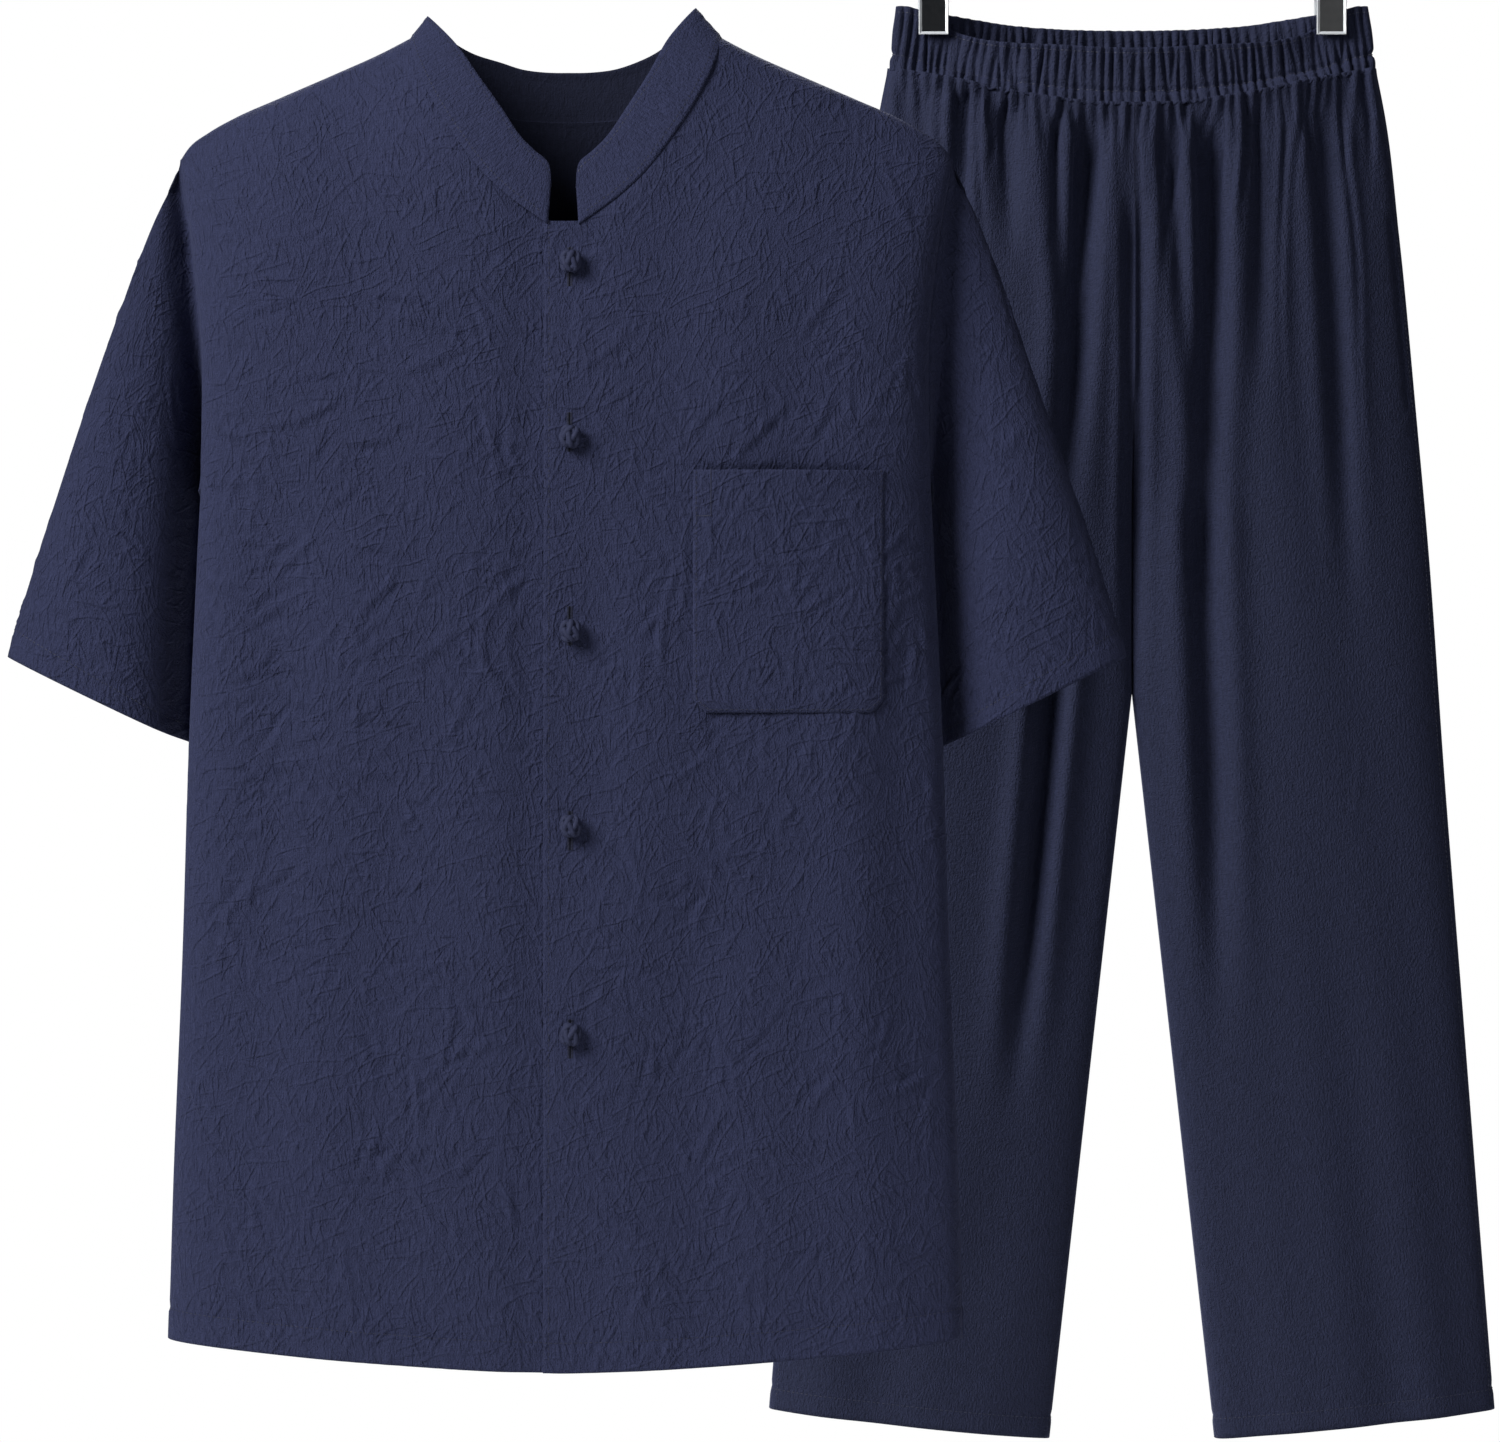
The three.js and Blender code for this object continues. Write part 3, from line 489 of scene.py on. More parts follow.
def crease_height(creases, x, z):
    """The relief of creases: each is a sharp soft ridge with a shallow trough on its lower side."""
    height = np.zeros(x.shape)
    for number, crease in enumerate(creases):
        run = math.hypot(crease.x2 - crease.x1, crease.z2 - crease.z1)
        way_x = (crease.x2 - crease.x1) / run
        way_z = (crease.z2 - crease.z1) / run
        middle_x = (crease.x1 + crease.x2) / 2
        middle_z = (crease.z1 + crease.z2) / 2
        reach = run * 0.75 + 4 * crease.wide
        near = (np.abs(x - middle_x) < reach) & (np.abs(z - middle_z) < reach)
        if not near.any():
            continue
        dx = x[near] - middle_x
        dz = z[near] - middle_z
        along = dx * way_x + dz * way_z
        curve = (number % 7 - 3) * CREASE_BOW * (along**2 - run**2 / 8)
        off = dz * way_x - dx * way_z - curve
        ends = np.exp(-((2 * along / run) ** 4))
        beside = off + CREASE_TROUGH_AT * crease.wide
        trough = CREASE_TROUGH * bump(beside, CREASE_TROUGH_WIDE * crease.wide)
        height[near] += crease.high * ends * (bump(off, crease.wide) - trough)
    return height


def burst_creases(rng, box, count, high=(0.35, 0.9)):
    """Creases in bursts: from each centre, lines run out like the veins of a leaf."""
    creases = []
    for _ in range(count):
        centre_x = rng.uniform(box[0], box[2])
        centre_z = rng.uniform(box[1], box[3])
        hangs = rng.random() < BURST_HANGING
        lean = rng.normal(-math.pi / 2, BURST_LEAN) if hangs else rng.uniform(0, math.tau)
        for _ in range(rng.integers(*BURST_LINES)):
            angle = lean + rng.normal(0, BURST_SPREAD)
            start = rng.uniform(1, 0.5 * BURST_REACH)
            run = rng.uniform(*BURST_RUN)
            x1 = centre_x + start * math.cos(angle)
            z1 = centre_z + start * math.sin(angle)
            angle += rng.normal(0, BURST_TURN)
            x2 = x1 + run * math.cos(angle)
            z2 = z1 + run * math.sin(angle)
            creases.append(Crease(x1, z1, x2, z2, rng.uniform(*high), rng.uniform(*BURST_WIDE)))
    return creases


def soft_waves(rng, x, z, count, wavelength, high):
    """Broad shallow unevenness of hanging cloth."""
    height = np.zeros(x.shape)
    for _ in range(count):
        angle = rng.uniform(-0.6, 0.6)
        turns = math.tau / rng.uniform(*wavelength)
        phase = rng.uniform(0, math.tau)
        height += np.sin(turns * (x * math.cos(angle) + 0.45 * z * math.sin(angle)) + phase)
    return high * height / math.sqrt(count)


# ---------------------------------------------------------------- cloth pieces


class ClothGrid:
    """The outer face of a piece of cloth: points and normals on a grid of u and v shares."""

    def __init__(self, points, normals):
        self.points = points
        self.normals = normals

    def at(self, u, v):
        """Points and normals at shares u and v."""
        rows, columns = self.points.shape[:2]
        column = np.clip(np.asarray(u) * (columns - 1), 0, columns - 1.001)
        row = np.clip(np.asarray(v) * (rows - 1), 0, rows - 1.001)
        i, j = column.astype(int), row.astype(int)
        s, t = (column - i)[:, None], (row - j)[:, None]
        found = []
        for field in (self.points, self.normals):
            low = mix(field[j, i], field[j, i + 1], s)
            high = mix(field[j + 1, i], field[j + 1, i + 1], s)
            found.append(mix(low, high, t))
        return found


def outward_normals(points, closed):
    across = np.gradient(points, axis=1)
    if closed:
        seam = points[:, 1] - points[:, -2]
        across[:, 0] = seam / 2
        across[:, -1] = seam / 2
    up = np.gradient(points, axis=0)
    normals = np.cross(across, up)
    size = np.linalg.norm(normals, axis=-1, keepdims=True)
    return normals / np.maximum(size, 1e-9)


def run_lengths(points, axis):
    return np.linalg.norm(np.diff(points, axis=axis), axis=-1).sum(axis=axis)


def flat_places(points, u):
    """Where each point lies on the flat cloth, in metres: across by its share, and up by its run
    from the lower edge, so that a pattern isn't skewed below a slanting upper edge."""
    steps = np.linalg.norm(np.diff(points, axis=0), axis=-1)
    up = np.vstack((np.zeros(points.shape[1]), np.cumsum(steps, axis=0)))
    across = u * run_lengths(points, 1).mean()
    return np.stack((across, up), axis=-1) * MM


def cloth_piece(name, spec, form, relief, place, closed=False):
    """A thin shell of cloth. form(u, v) gives its smooth shape and relief(u, v, points) what
    creases and seams add along the normals, both in millimetres in the garment's frame."""
    columns, rows = spec["grid"]
    mesh_work = bmesh.new()
    bmesh.ops.create_grid(mesh_work, x_segments=columns, y_segments=rows, size=0.5)
    flat = np.array([vertex.co[:2] for vertex in mesh_work.verts]) + 0.5
    order = np.lexsort((flat[:, 0].round(5), flat[:, 1].round(5)))
    u, v = (flat[order, k].reshape(rows + 1, columns + 1) for k in (0, 1))
    smooth_form = form(u, v)
    normals = outward_normals(smooth_form, closed)
    lift = relief(u, v, smooth_form)
    if closed:
        lift[:, -1] = lift[:, 0]
    points = smooth_form + normals * lift[..., None] + place
    mesh_work.verts.ensure_lookup_table()
    for index, point in zip(order, points.reshape(-1, 3) * MM):
        mesh_work.verts[index].co = point
    cloth_uv = mesh_work.loops.layers.uv.new("cloth")
    places = np.empty(flat.shape)
    places[order] = flat_places(smooth_form, u).reshape(-1, 2)
    for face in mesh_work.faces:
        for corner in face.loops:
            corner[cloth_uv].uv = places[corner.vert.index]
    if closed:
        bmesh.ops.remove_doubles(mesh_work, verts=mesh_work.verts, dist=1e-6)
    piece = finish_mesh(name, mesh_work, spec["material"])
    wall = piece.modifiers.new("Cloth thickness", "SOLIDIFY")
    wall.thickness = spec["thickness"] * MM
    wall.offset = -1
    # Shirt cloth gets a darker inner face: painted shade for the hollow seen inside the neck.
    if spec.get("inside"):
        piece.data.materials.append(finish("inside"))
        wall.material_offset = 1
    declare(piece, spec["slot"], *spec["replaces"])
    return ClothGrid(points, outward_normals(points, closed))


def finish_mesh(name, mesh_work, material, smooth=True):
    """Turns a bmesh into an object with its material."""
    mesh = bpy.data.meshes.new(name)
    mesh_work.to_mesh(mesh)
    mesh_work.free()
    mesh.polygons.foreach_set("use_smooth", [smooth] * len(mesh.polygons))
    mesh.materials.append(material)
    piece = bpy.data.objects.new(name, mesh)
    bpy.context.scene.collection.objects.link(piece)
    return piece


def wire_work(name, path, radius, resolution, cyclic=False):
    """A bmesh of a round wire or cord along a path, in metres."""
    curve = bpy.data.curves.new(name, "CURVE")
    curve.dimensions = "3D"
    spline = curve.splines.new("POLY")
    spline.points.add(len(path) - 1)
    for point, place in zip(spline.points, path):
        point.co = (*place, 1)
    spline.use_cyclic_u = cyclic
    curve.bevel_depth = radius
    curve.bevel_resolution = resolution
    curve.use_fill_caps = not cyclic
    line = bpy.data.objects.new(name + "_path", curve)
    work = bmesh.new()
    work.from_mesh(bpy.data.meshes.new_from_object(line))
    bpy.data.objects.remove(line)
    return work


def declare(piece, slot, *nodes):
    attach(piece, BODY)
    if nodes:
        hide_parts(*nodes)


# ---------------------------------------------------------------- shirt forms


def body_half(z):
    return through(SHIRT_SECTIONS, "z", "half", z)


def hem_z(x):
    return mix(HEM_CENTRE_Z, HEM_SIDE_Z, np.abs(x / SHIRT_HALF_WIDTH) ** HEM_CURVE)


def shoulder_z(x):
    side = np.abs(x)
    neck = mix(NECK_ROOF_Z, SHOULDER_TOP_Z, (side / NECK_HALF_WIDTH) ** 2)
    return np.where(side >= NECK_HALF_WIDTH, through(SHOULDER_LINE, "x", "z", side), neck)


def top_z(face, x):
    side = np.abs(x)
    neck = through(NECK_STATIONS, "x", face[0] + "_z", side)
    return np.where(side >= NECK_HALF_WIDTH, shoulder_z(x), neck)


def shirt_y(face, x, z):
    """The shirt's outer face, measured from its middle plane."""
    front = face == "front"
    roll = FRONT_ROLL if front else BACK_ROLL
    share = np.clip(np.abs(x) / body_half(z), 0, 1)
    side = (1 - share**roll) ** (1 / roll)
    climb = np.clip((shoulder_z(x) - z) / SHOULDER_ROLL, 0, 1)
    shoulder = np.sqrt(1 - (1 - climb) ** 2)
    level = np.clip(2 * (z - UNDERARM_Z) / (SHOULDER_TIP_Z - UNDERARM_Z) - 1, -1, 1)
    hole = np.sqrt(1 - level**2)
    armhole = ARMHOLE_FRONT if front else ARMHOLE_BACK
    edge = np.minimum(1, shoulder * ARMHOLE_OPENING) * hole * armhole
    full = through(SHIRT_SECTIONS, "z", face, z) * shoulder
    fold = fold_depth(SHIRT_FOLDS, face, 0, x, z) * side
    depth = np.maximum(0, edge + (full - edge) * side - fold)
    return -depth if front else depth


def shirt_panel_form(face, columns_at, inset=None):
    def form(u, v):
        column = columns_at(u)
        z = mix(hem_z(column), top_z(face, column), crowd(v, SHOULDER_CROWD))
        x = column / SHIRT_HALF_WIDTH * body_half(z)
        y = shirt_y(face, x, z)
        if inset:
            y = y + inset(x)
        return np.stack((x, y, z), axis=-1)

    return form


def left_front_columns(u):
    return mix(PLACKET_X, SHIRT_HALF_WIDTH, crowd(u, SIDE_CROWD))


def right_front_columns(u):
    return mix(-PLACKET_X, -SHIRT_HALF_WIDTH, crowd(1 - u, SIDE_CROWD))


def back_columns(u):
    return -SHIRT_HALF_WIDTH * crowd_both(u, SIDE_CROWD)


def lap_inset(x):
    return LAP_DEPTH * smoothstep(PLACKET_X - LAP_BLEND, PLACKET_X - LAP_FULL, x)


def hem_relief(above, depth):
    """A turned hem is a little fuller than the cloth above it, and dips along its stitches."""
    full = HEM_FULL * (1 - smoothstep(depth - 2, depth + 1, above))
    return full - HEM_DIP * bump(above - depth, HEM_DIP_WIDE)


def panel_relief(face, creases, seed):
    def relief(u, v, points):
        x, z = points[..., 0], points[..., 2]
        rng = np.random.default_rng(seed)
        height = crease_height(creases, x, z)
        height = CREASE_LIMIT * np.tanh(height / CREASE_LIMIT)
        height += soft_waves(rng, x, z, count=7, wavelength=(60, 150), high=1.1)
        calm = smoothstep(0, 22, z - hem_z(x)) * 0.6 + 0.4
        side = body_half(z) - np.abs(x)
        height *= calm * smoothstep(-2, 14, side) * smoothstep(0, 12, top_z(face, x) - z)
        height += hem_relief(z - hem_z(x), SHIRT_HEM)
        height -= SEAM_DIP * bump(side, SEAM_WIDE)
        height -= NECK_DIP * bump(top_z(face, x) - z, SEAM_WIDE)
        height += HEM_WAVE * np.sin(x / HEM_WAVE_RUN + seed) * bump(z - hem_z(x), HEM_WAVE_TALL)
        return height

    return relief


def under_lap_relief(relief):
    """The right front lies flat where the left one laps over it."""

    def pressed(u, v, points):
        beyond = smoothstep(0, 20, PLACKET_X - points[..., 0])
        return relief(u, v, points) * mix(LAP_PRESSED, 1, beyond)

    return pressed


def placket_relief(relief):
    """The left front's edge is a turned placket with a stitched line beside it, and the cloth
    sinks away in the mouth of the pocket."""

    def with_placket(u, v, points):
        x, z = points[..., 0], points[..., 2]
        inside = x - PLACKET_X
        across = np.clip((x - POCKET_LEFT) / POCKET_WIDE, 0, 1)
        mouth = MOUTH_DEPTH * np.sin(math.pi * across) ** 0.5 * bump(z - POCKET_TOP + 1.2, 2.6)
        placket = PLACKET_DIP * bump(inside - PLACKET_STITCH, PLACKET_DIP_WIDE)
        calm = smoothstep(0, 9, inside) * mix(0.5, 1, smoothstep(24, 44, inside))
        return relief(u, v, points) * calm - placket - mouth

    return with_placket


def sleeve_form(side):
    """One sleeve. v runs from the cuff up to the armhole, and u goes round from the inner line."""

    def form(u, v):
        share = 1 - v
        turn = (u if side > 0 else 1 - u) * math.tau
        out = (1 - np.cos(turn)) / 2
        forward = np.sin(turn)
        outer_x = mix(SHIRT_HALF_WIDTH, CUFF_OUTER_X, share)
        outer_z = mix(SHOULDER_TIP_Z, CUFF_OUTER_Z, share)
        inner_z = mix(UNDERARM_Z, CUFF_INNER_Z, share)
        tucked = smoothstep(0, SLEEVE_TUCK_SHARE, share)
        inner_x = body_half(inner_z) - SLEEVE_BEHIND * tucked
        full = smoothstep(0, SLEEVE_FULL_SHARE, share)
        front = mix(ARMHOLE_FRONT, SLEEVE_DEPTH, full)
        back = mix(ARMHOLE_BACK, SLEEVE_DEPTH, full)
        outer_x = outer_x + SLEEVE_BOW * np.sin(math.pi * share) ** 0.7
        z = mix(inner_z, outer_z, out)
        leaves = 1 - (1 - np.clip(share / SLEEVE_HEAD_SHARE, 0, 1)) ** 5
        leaves = mix(smoothstep(0, SLEEVE_HEAD_SHARE, share), leaves, out)
        x = mix(body_half(z), mix(inner_x, outer_x, out), leaves)
        middle = mix(SLEEVE_TUCK[side] * tucked, SLEEVE_OUTER_Y * share, out)
        fall = tucked * np.where(out < 0.5, 1, 0) * (forward > 0)
        slow = mix(1, np.abs(forward), fall)
        inwards = out * (outer_x - inner_x)
        middle = middle + SLEEVE_FALL[side] * tucked * np.exp(-inwards / SLEEVE_FALL_WIDTH)
        gap = np.maximum(0, x - body_half(z)) / SLEEVE_DIP_AT
        thick = (front + back) * np.abs(forward)
        dip = gap * np.exp(1 - gap) * np.minimum(SLEEVE_DIP[side], SLEEVE_DIP_SHARE * thick)
        y = middle + np.where(forward > 0, dip - front * slow * forward, -back * forward)
        return np.stack((side * x, y, z), axis=-1)

    return form


def sleeve_relief(seed):
    """Creases round the tube, in its own flat sizes, and soft drag folds from the underarm."""

    def relief(u, v, points):
        rng = np.random.default_rng(seed)
        across = u * SLEEVE_ROUND
        along = v * SLEEVE_LONG
        box = (0, 25, SLEEVE_ROUND, SLEEVE_LONG - 20)
        height = crease_height(burst_creases(rng, box, count=46, high=(0.3, 0.7)), across, along)
        seam = smoothstep(0, 16, across) * smoothstep(0, 16, SLEEVE_ROUND - across)
        height *= seam * smoothstep(0, 24, along) * smoothstep(0, 26, SLEEVE_LONG - along)
        height += 1.6 * np.sin(math.tau * u * 3 + 2.2 * v + seed) * np.sin(math.pi * v) ** 2
        height += hem_relief(along, SLEEVE_HEM)
        height -= ARMHOLE_DIP * bump(SLEEVE_LONG - along, ARMHOLE_DIP_WIDE)
        return height

    return relief


def collar_line(part):
    """The collar's seam or top edge from the left front end round the nape to the right one."""
    seam = part == "seam"
    half = []
    for face, rows in (("front", NECK_STATIONS), ("back", NECK_STATIONS[-2::-1])):
        for row in rows:
            seam_x, seam_z = row["x"], row[face[0] + "_z"]
            seam_y = float(shirt_y(face, np.array([seam_x]), np.array([seam_z]))[0])
            lean = COLLAR_LEAN * min(1, abs(seam_y) / COLLAR_LEAN_FROM)
            top_y = seam_y - math.copysign(lean, seam_y)
            top = (row[face[0] + "_top_x"], top_y, row[face[0] + "_top_z"])
            half.append((seam_x, seam_y, seam_z) if seam else top)
    half = np.array(half)
    nape = half[-1] * (0, 1, 1)
    other = half[::-1] * (-1, 1, 1)
    if not seam:
        peak = smoothstep(40, 80, -other[:, 0])
        other = other + peak[:, None] * COLLAR_LEAN_OUT
    return np.vstack((half, nape[None], other))


def shares_along(line):
    """Each point's share of the way along a line."""
    key = np.concatenate(([0], np.cumsum(np.linalg.norm(np.diff(line, axis=0), axis=1))))
    return key / key[-1]


def through_line(line, keys, share):
    """Points on a smooth curve through a line of points, which stand at keys."""
    stations = rows_of("at x y z", *((at, *point) for at, point in zip(keys, line)))
    return np.stack([through(stations, "at", axis, share) for axis in "xyz"], axis=-1)


def collar_form(u, v):
    seam_line, top_line = collar_line("seam"), collar_line("top")
    keys = shares_along(seam_line)
    seam = through_line(seam_line, keys, u)
    top = through_line(top_line, keys, u)
    up = top - seam
    tall = np.linalg.norm(up, axis=-1, keepdims=True)
    out = seam * (1, 1, 0) + 1e-6
    out = out / np.linalg.norm(out, axis=-1, keepdims=True)
    seam = seam - up / tall * COLLAR_TUCK + out * COLLAR_PROUD * (seam[..., 1:2] < 0)
    end = np.minimum(u, 1 - u)[..., None] * run_lengths(seam_line, 0)
    corner = np.clip(1 - end / COLLAR_CORNER, 0, 1)
    drop = COLLAR_CORNER * (1 - np.sqrt(1 - corner**2)) / tall
    return mix(seam, top, v[..., None] * (1 - 0.8 * drop))


def collar_relief(u, v, points):
    rng = np.random.default_rng(41)
    along = u * COLLAR_LONG
    up = v * COLLAR_TALL
    box = (0, 0, COLLAR_LONG, COLLAR_TALL)
    height = crease_height(burst_creases(rng, box, count=8, high=(0.08, 0.2)), along, up)
    below = COLLAR_TALL - up
    height *= smoothstep(0, 8, up) * smoothstep(0, 6, below)
    edge = np.minimum(np.minimum(up, below), np.minimum(along, COLLAR_LONG - along))
    return height + COLLAR_FULL * smoothstep(0, 4, edge) - COLLAR_DIP * bump(below - 3, 1.2)


def pocket_form(u, v):
    cut = np.clip(POCKET_CORNER - POCKET_TALL * v, 0, POCKET_CORNER)
    x = mix(POCKET_LEFT + cut, POCKET_RIGHT - cut, u)
    z = POCKET_BOTTOM + POCKET_TALL * v
    gape = POCKET_GAPE * np.sin(math.pi * u) * v**GAPE_CURVE
    y = shirt_y("front", x, z) - POCKET_LIFT - gape
    return np.stack((x, y, z), axis=-1)


def pocket_relief(u, v, points):
    rng = np.random.default_rng(23)
    x, z = points[..., 0], points[..., 2]
    box = (POCKET_LEFT, POCKET_BOTTOM, POCKET_RIGHT, POCKET_TOP)
    height = crease_height(burst_creases(rng, box, count=11, high=(0.3, 0.7)), x, z)
    edge = np.minimum(np.minimum(x - POCKET_LEFT, POCKET_RIGHT - x), z - POCKET_BOTTOM)
    height *= smoothstep(0, 12, edge) * smoothstep(0, 10, POCKET_TOP - z)
    sunk = POCKET_LIFT * 0.3 * (1 - smoothstep(0, 2.5, edge)) * (1 - smoothstep(0.86, 1, v))
    return height - sunk - POCKET_DIP * bump(edge - 3, 1.3)


# ---------------------------------------------------------------- trouser forms


def leg_inner(z):
    lean = LEG_GAP + np.maximum(0, LEG_TOUCH_Z - z) * LEG_SPREAD
    return np.where(z >= CROTCH_Z, 0, lean)


def trouser_depth(share, z):
    outer_roll = (1 - share**LEG_ROLL) ** (1 / LEG_ROLL)
    inner_roll = (1 - (1 - share) ** LEG_ROLL) ** (1 / LEG_ROLL)
    joined = smoothstep(CROTCH_Z, CROTCH_Z + CROTCH_CURVE, z)
    leg = through(LEG_SECTIONS, "z", "depth", z) * outer_roll * mix(inner_roll, 1, joined)
    waist = through(WAIST_STATIONS, "share", "low", share)
    return mix(leg, waist, smoothstep(WAIST_BLEND_LOW, WAIST_BLEND_HIGH, z))


def trouser_share(u, face, side):
    """The share of the way from the inner line to the side seam, as u runs anticlockwise."""
    outwards = u if (face == "front") == (side > 0) else 1 - u
    return (crowd_both(outwards, SIDE_CROWD) + 1) / 2


def trouser_form(face, side):
    def form(u, v):
        share = trouser_share(u, face, side)
        top = through(WAIST_STATIONS, "share", "low_z", share) + CASING_OVERLAP
        z = mix(TROUSER_HEM_RISE * share, top, v)
        x = mix(leg_inner(z), through(LEG_SECTIONS, "z", "outer", z), share)
        fold = fold_depth(TROUSER_FOLDS, face, side, x, z, TROUSER_FOLD_GAIN) * np.sqrt(1 - share)
        depth = np.maximum(0, trouser_depth(share, z) - fold)
        return np.stack((side * x, depth * (-1 if face == "front" else 1), z), axis=-1)

    return form


def gather_relief(rng, x, below, count, wide):
    """Close uneven gathers that hang from a casing and die away below it."""
    height = np.zeros(x.shape)
    at = rng.uniform(2, 5)
    for _ in range(count):
        lean = rng.normal(0, GATHER_LEAN)
        long = rng.choice(GATHER_LONG, p=GATHER_SHARES) * rng.uniform(0.8, 1.3)
        deep = rng.uniform(*GATHER_DEEP)
        sway = rng.uniform(0.8, 4) * np.sin(below / rng.uniform(18, 45) + rng.uniform(0, 6))
        off = x - at - lean * below - sway * smoothstep(0, 30, below)
        fade = np.exp(-((below / long) ** 2))
        profile = bump(off, rng.uniform(*GATHER_WIDE)) - 0.6 * bump(off - wide / 2, 2.4)
        height -= deep * fade * profile
        at += rng.uniform(*GATHER_STEP) * wide
    return height


def trouser_relief(face, side, seed):
    def relief(u, v, points):
        rng = np.random.default_rng(seed)
        x, z = np.abs(points[..., 0]), points[..., 2]
        share = trouser_share(u, face, side)
        top = through(WAIST_STATIONS, "share", "low_z", share)
        height = gather_relief(rng, x, top - z, count=22, wide=6.6)
        box = (0, 60, 220, 800)
        height += crease_height(burst_creases(rng, box, count=9, high=(0.15, 0.35)), x, z)
        height += soft_waves(rng, x, z, count=6, wavelength=(40, 110), high=0.9)
        across = mix(leg_inner(z), through(LEG_SECTIONS, "z", "outer", z), share)
        from_inner = across - leg_inner(z)
        from_outer = through(LEG_SECTIONS, "z", "outer", z) - across
        height *= smoothstep(0, 7, from_outer) * smoothstep(0, 5, from_inner)
        height -= LEG_SEAM_DIP * bump(from_outer, LEG_SEAM_WIDE)
        height += hem_relief(z - TROUSER_HEM_RISE * share, TROUSER_HEM)
        if face == "front":
            mouth = smoothstep(POCKET_SLIT_LOW, POCKET_SLIT_LOW + SLIT_FADE, z)
            mouth *= 1 - smoothstep(POCKET_SLIT_HIGH - SLIT_FADE, POCKET_SLIT_HIGH, z)
            height -= SLIT_DIP * bump(from_outer - POCKET_SLIT_INSET, SLIT_WIDE) * mouth
        return height

    return relief


def casing_share(u):
    """The quarter of the casing at u, and its share of the way from the middle to the side."""
    quarter = np.clip((u * 4).astype(int), 0, 3)
    within = u * 4 - quarter
    away = np.where(quarter % 2 == 0, within, 1 - within)
    return quarter, (away + np.sin(math.pi * away / 2)) / 2


def casing_form(u, v):
    """The elastic casing, round from the centre front by the wearer's left side."""
    quarter, share = casing_share(u)
    front = (quarter == 0) | (quarter == 3)
    side = np.where(quarter < 2, 1, -1)
    rounded = np.sqrt(np.clip((1 - share) / (1 - WAIST_ROUND_FROM), 0, 1))
    top = through(WAIST_STATIONS, "share", "top", share)
    low = through(WAIST_STATIONS, "share", "low", share)
    top = np.where(share > WAIST_ROUND_FROM, WAIST_ROUND_TOP * rounded, top)
    low = np.where(share > WAIST_ROUND_FROM, WAIST_ROUND_LOW * rounded, low)
    depth = mix(top, low, (1 - v) ** WAIST_FLARE)
    x = side * share * mix(WAIST_LOW_HALF, WAIST_TOP_HALF, v)
    front_z = through(WAIST_STATIONS, "share", "front_z", share)
    back_z = through(WAIST_STATIONS, "share", "back_z", share)
    low_z = through(WAIST_STATIONS, "share", "low_z", share)
    z = mix(low_z, np.where(front, front_z, back_z), v)
    return np.stack((x, np.where(front, -depth, depth), z), axis=-1)


def casing_place(u):
    """How far round the casing a share u lies, evenly by its width."""
    quarter, share = casing_share(u)
    return (quarter + np.where(quarter % 2 == 0, share, 1 - share)) / 4


def casing_relief(u, v, points):
    """Uneven upright gathers all round, drawn in along the stitches and at the top fold."""
    rng = np.random.default_rng(7)
    height = np.zeros(u.shape)
    steps = rng.uniform(*CASING_STEP, CASING_GATHERS)
    round_it = casing_place(u)
    for place in np.cumsum(steps) / steps.sum():
        sway = rng.uniform(0, 0.0011) * np.sin(rng.uniform(3, 7) * v + rng.uniform(0, 6))
        off = (round_it - place - rng.normal(0, 0.003) * (v - 0.5) - sway + 0.5) % 1 - 0.5
        deep = rng.uniform(*CASING_DEEP) * (1 + 0.35 * np.sin(5 * v + rng.uniform(0, 6)))
        height -= deep * bump(off, rng.uniform(*CASING_WIDE))
    up = v * CASING_TALL
    away = np.abs(points[..., 0]) / WAIST_TOP_HALF
    gripped = 1 - CLIP_GRIP * bump(away - CLIP_AT, 0.07) * smoothstep(0.3, 0.7, v)
    height *= (0.45 + 0.55 * smoothstep(0, 7, CASING_TALL - up)) * gripped
    height += 0.5 * bump(up - 4.5, 3) - 1.7 * bump(up - CASING_STITCH, 1.7)
    height += 0.4 * bump(up - 23, 9) * gripped
    return height


# ---------------------------------------------------------------- materials


def linear(text, gain=1):
    """An sRGB hex colour as linear red, green, blue and alpha, lightened by a gain."""
    parts = [int(text[k : k + 2], 16) / 255 for k in (1, 3, 5)]
    plain = [c / 12.92 if c <= 0.04045 else ((c + 0.055) / 1.055) ** 2.4 for c in parts]
    return [c * gain for c in plain] + [1]


RGBA = {"data_type": "RGBA"}
FLAT_NOISE = {"noise_dimensions": "2D"}


def set_inputs(tree, node, **inputs):
    """Sets inputs of a node, by name or as i and a number, to values or output sockets."""
    for key, value in inputs.items():
        numbered = key[0] == "i" and key[1:].isdigit()
        found = node.inputs[int(key[1:]) if numbered else key.replace("_", " ")]
        if isinstance(value, bpy.types.NodeSocket):
            tree.links.new(value, found)
        else:
            found.default_value = value


def add_node(tree, kind, settings=None, **inputs):
    """Adds a node with its settings and inputs."""
    made = tree.nodes.new(kind)
    for key, value in (settings or {}).items():
        setattr(made, key, value)
    set_inputs(tree, made, **inputs)
    return made


def new_material(name):
    """A material with one Principled BSDF, which it returns with the tree."""
    material = bpy.data.materials.new(name)
    material.use_nodes = True
    tree = material.node_tree
    return material, tree, tree.nodes["Principled BSDF"]


# Nets of fine creases: lean in degrees, cells' width and height, a seed, and the patches' size.
CREASE_NETS = ((32, 9, 44, 2, 17), (-38, 8, 40, 12, 19), (72, 11, 46, 23, 26), (-8, 6, 26, 31, 15))


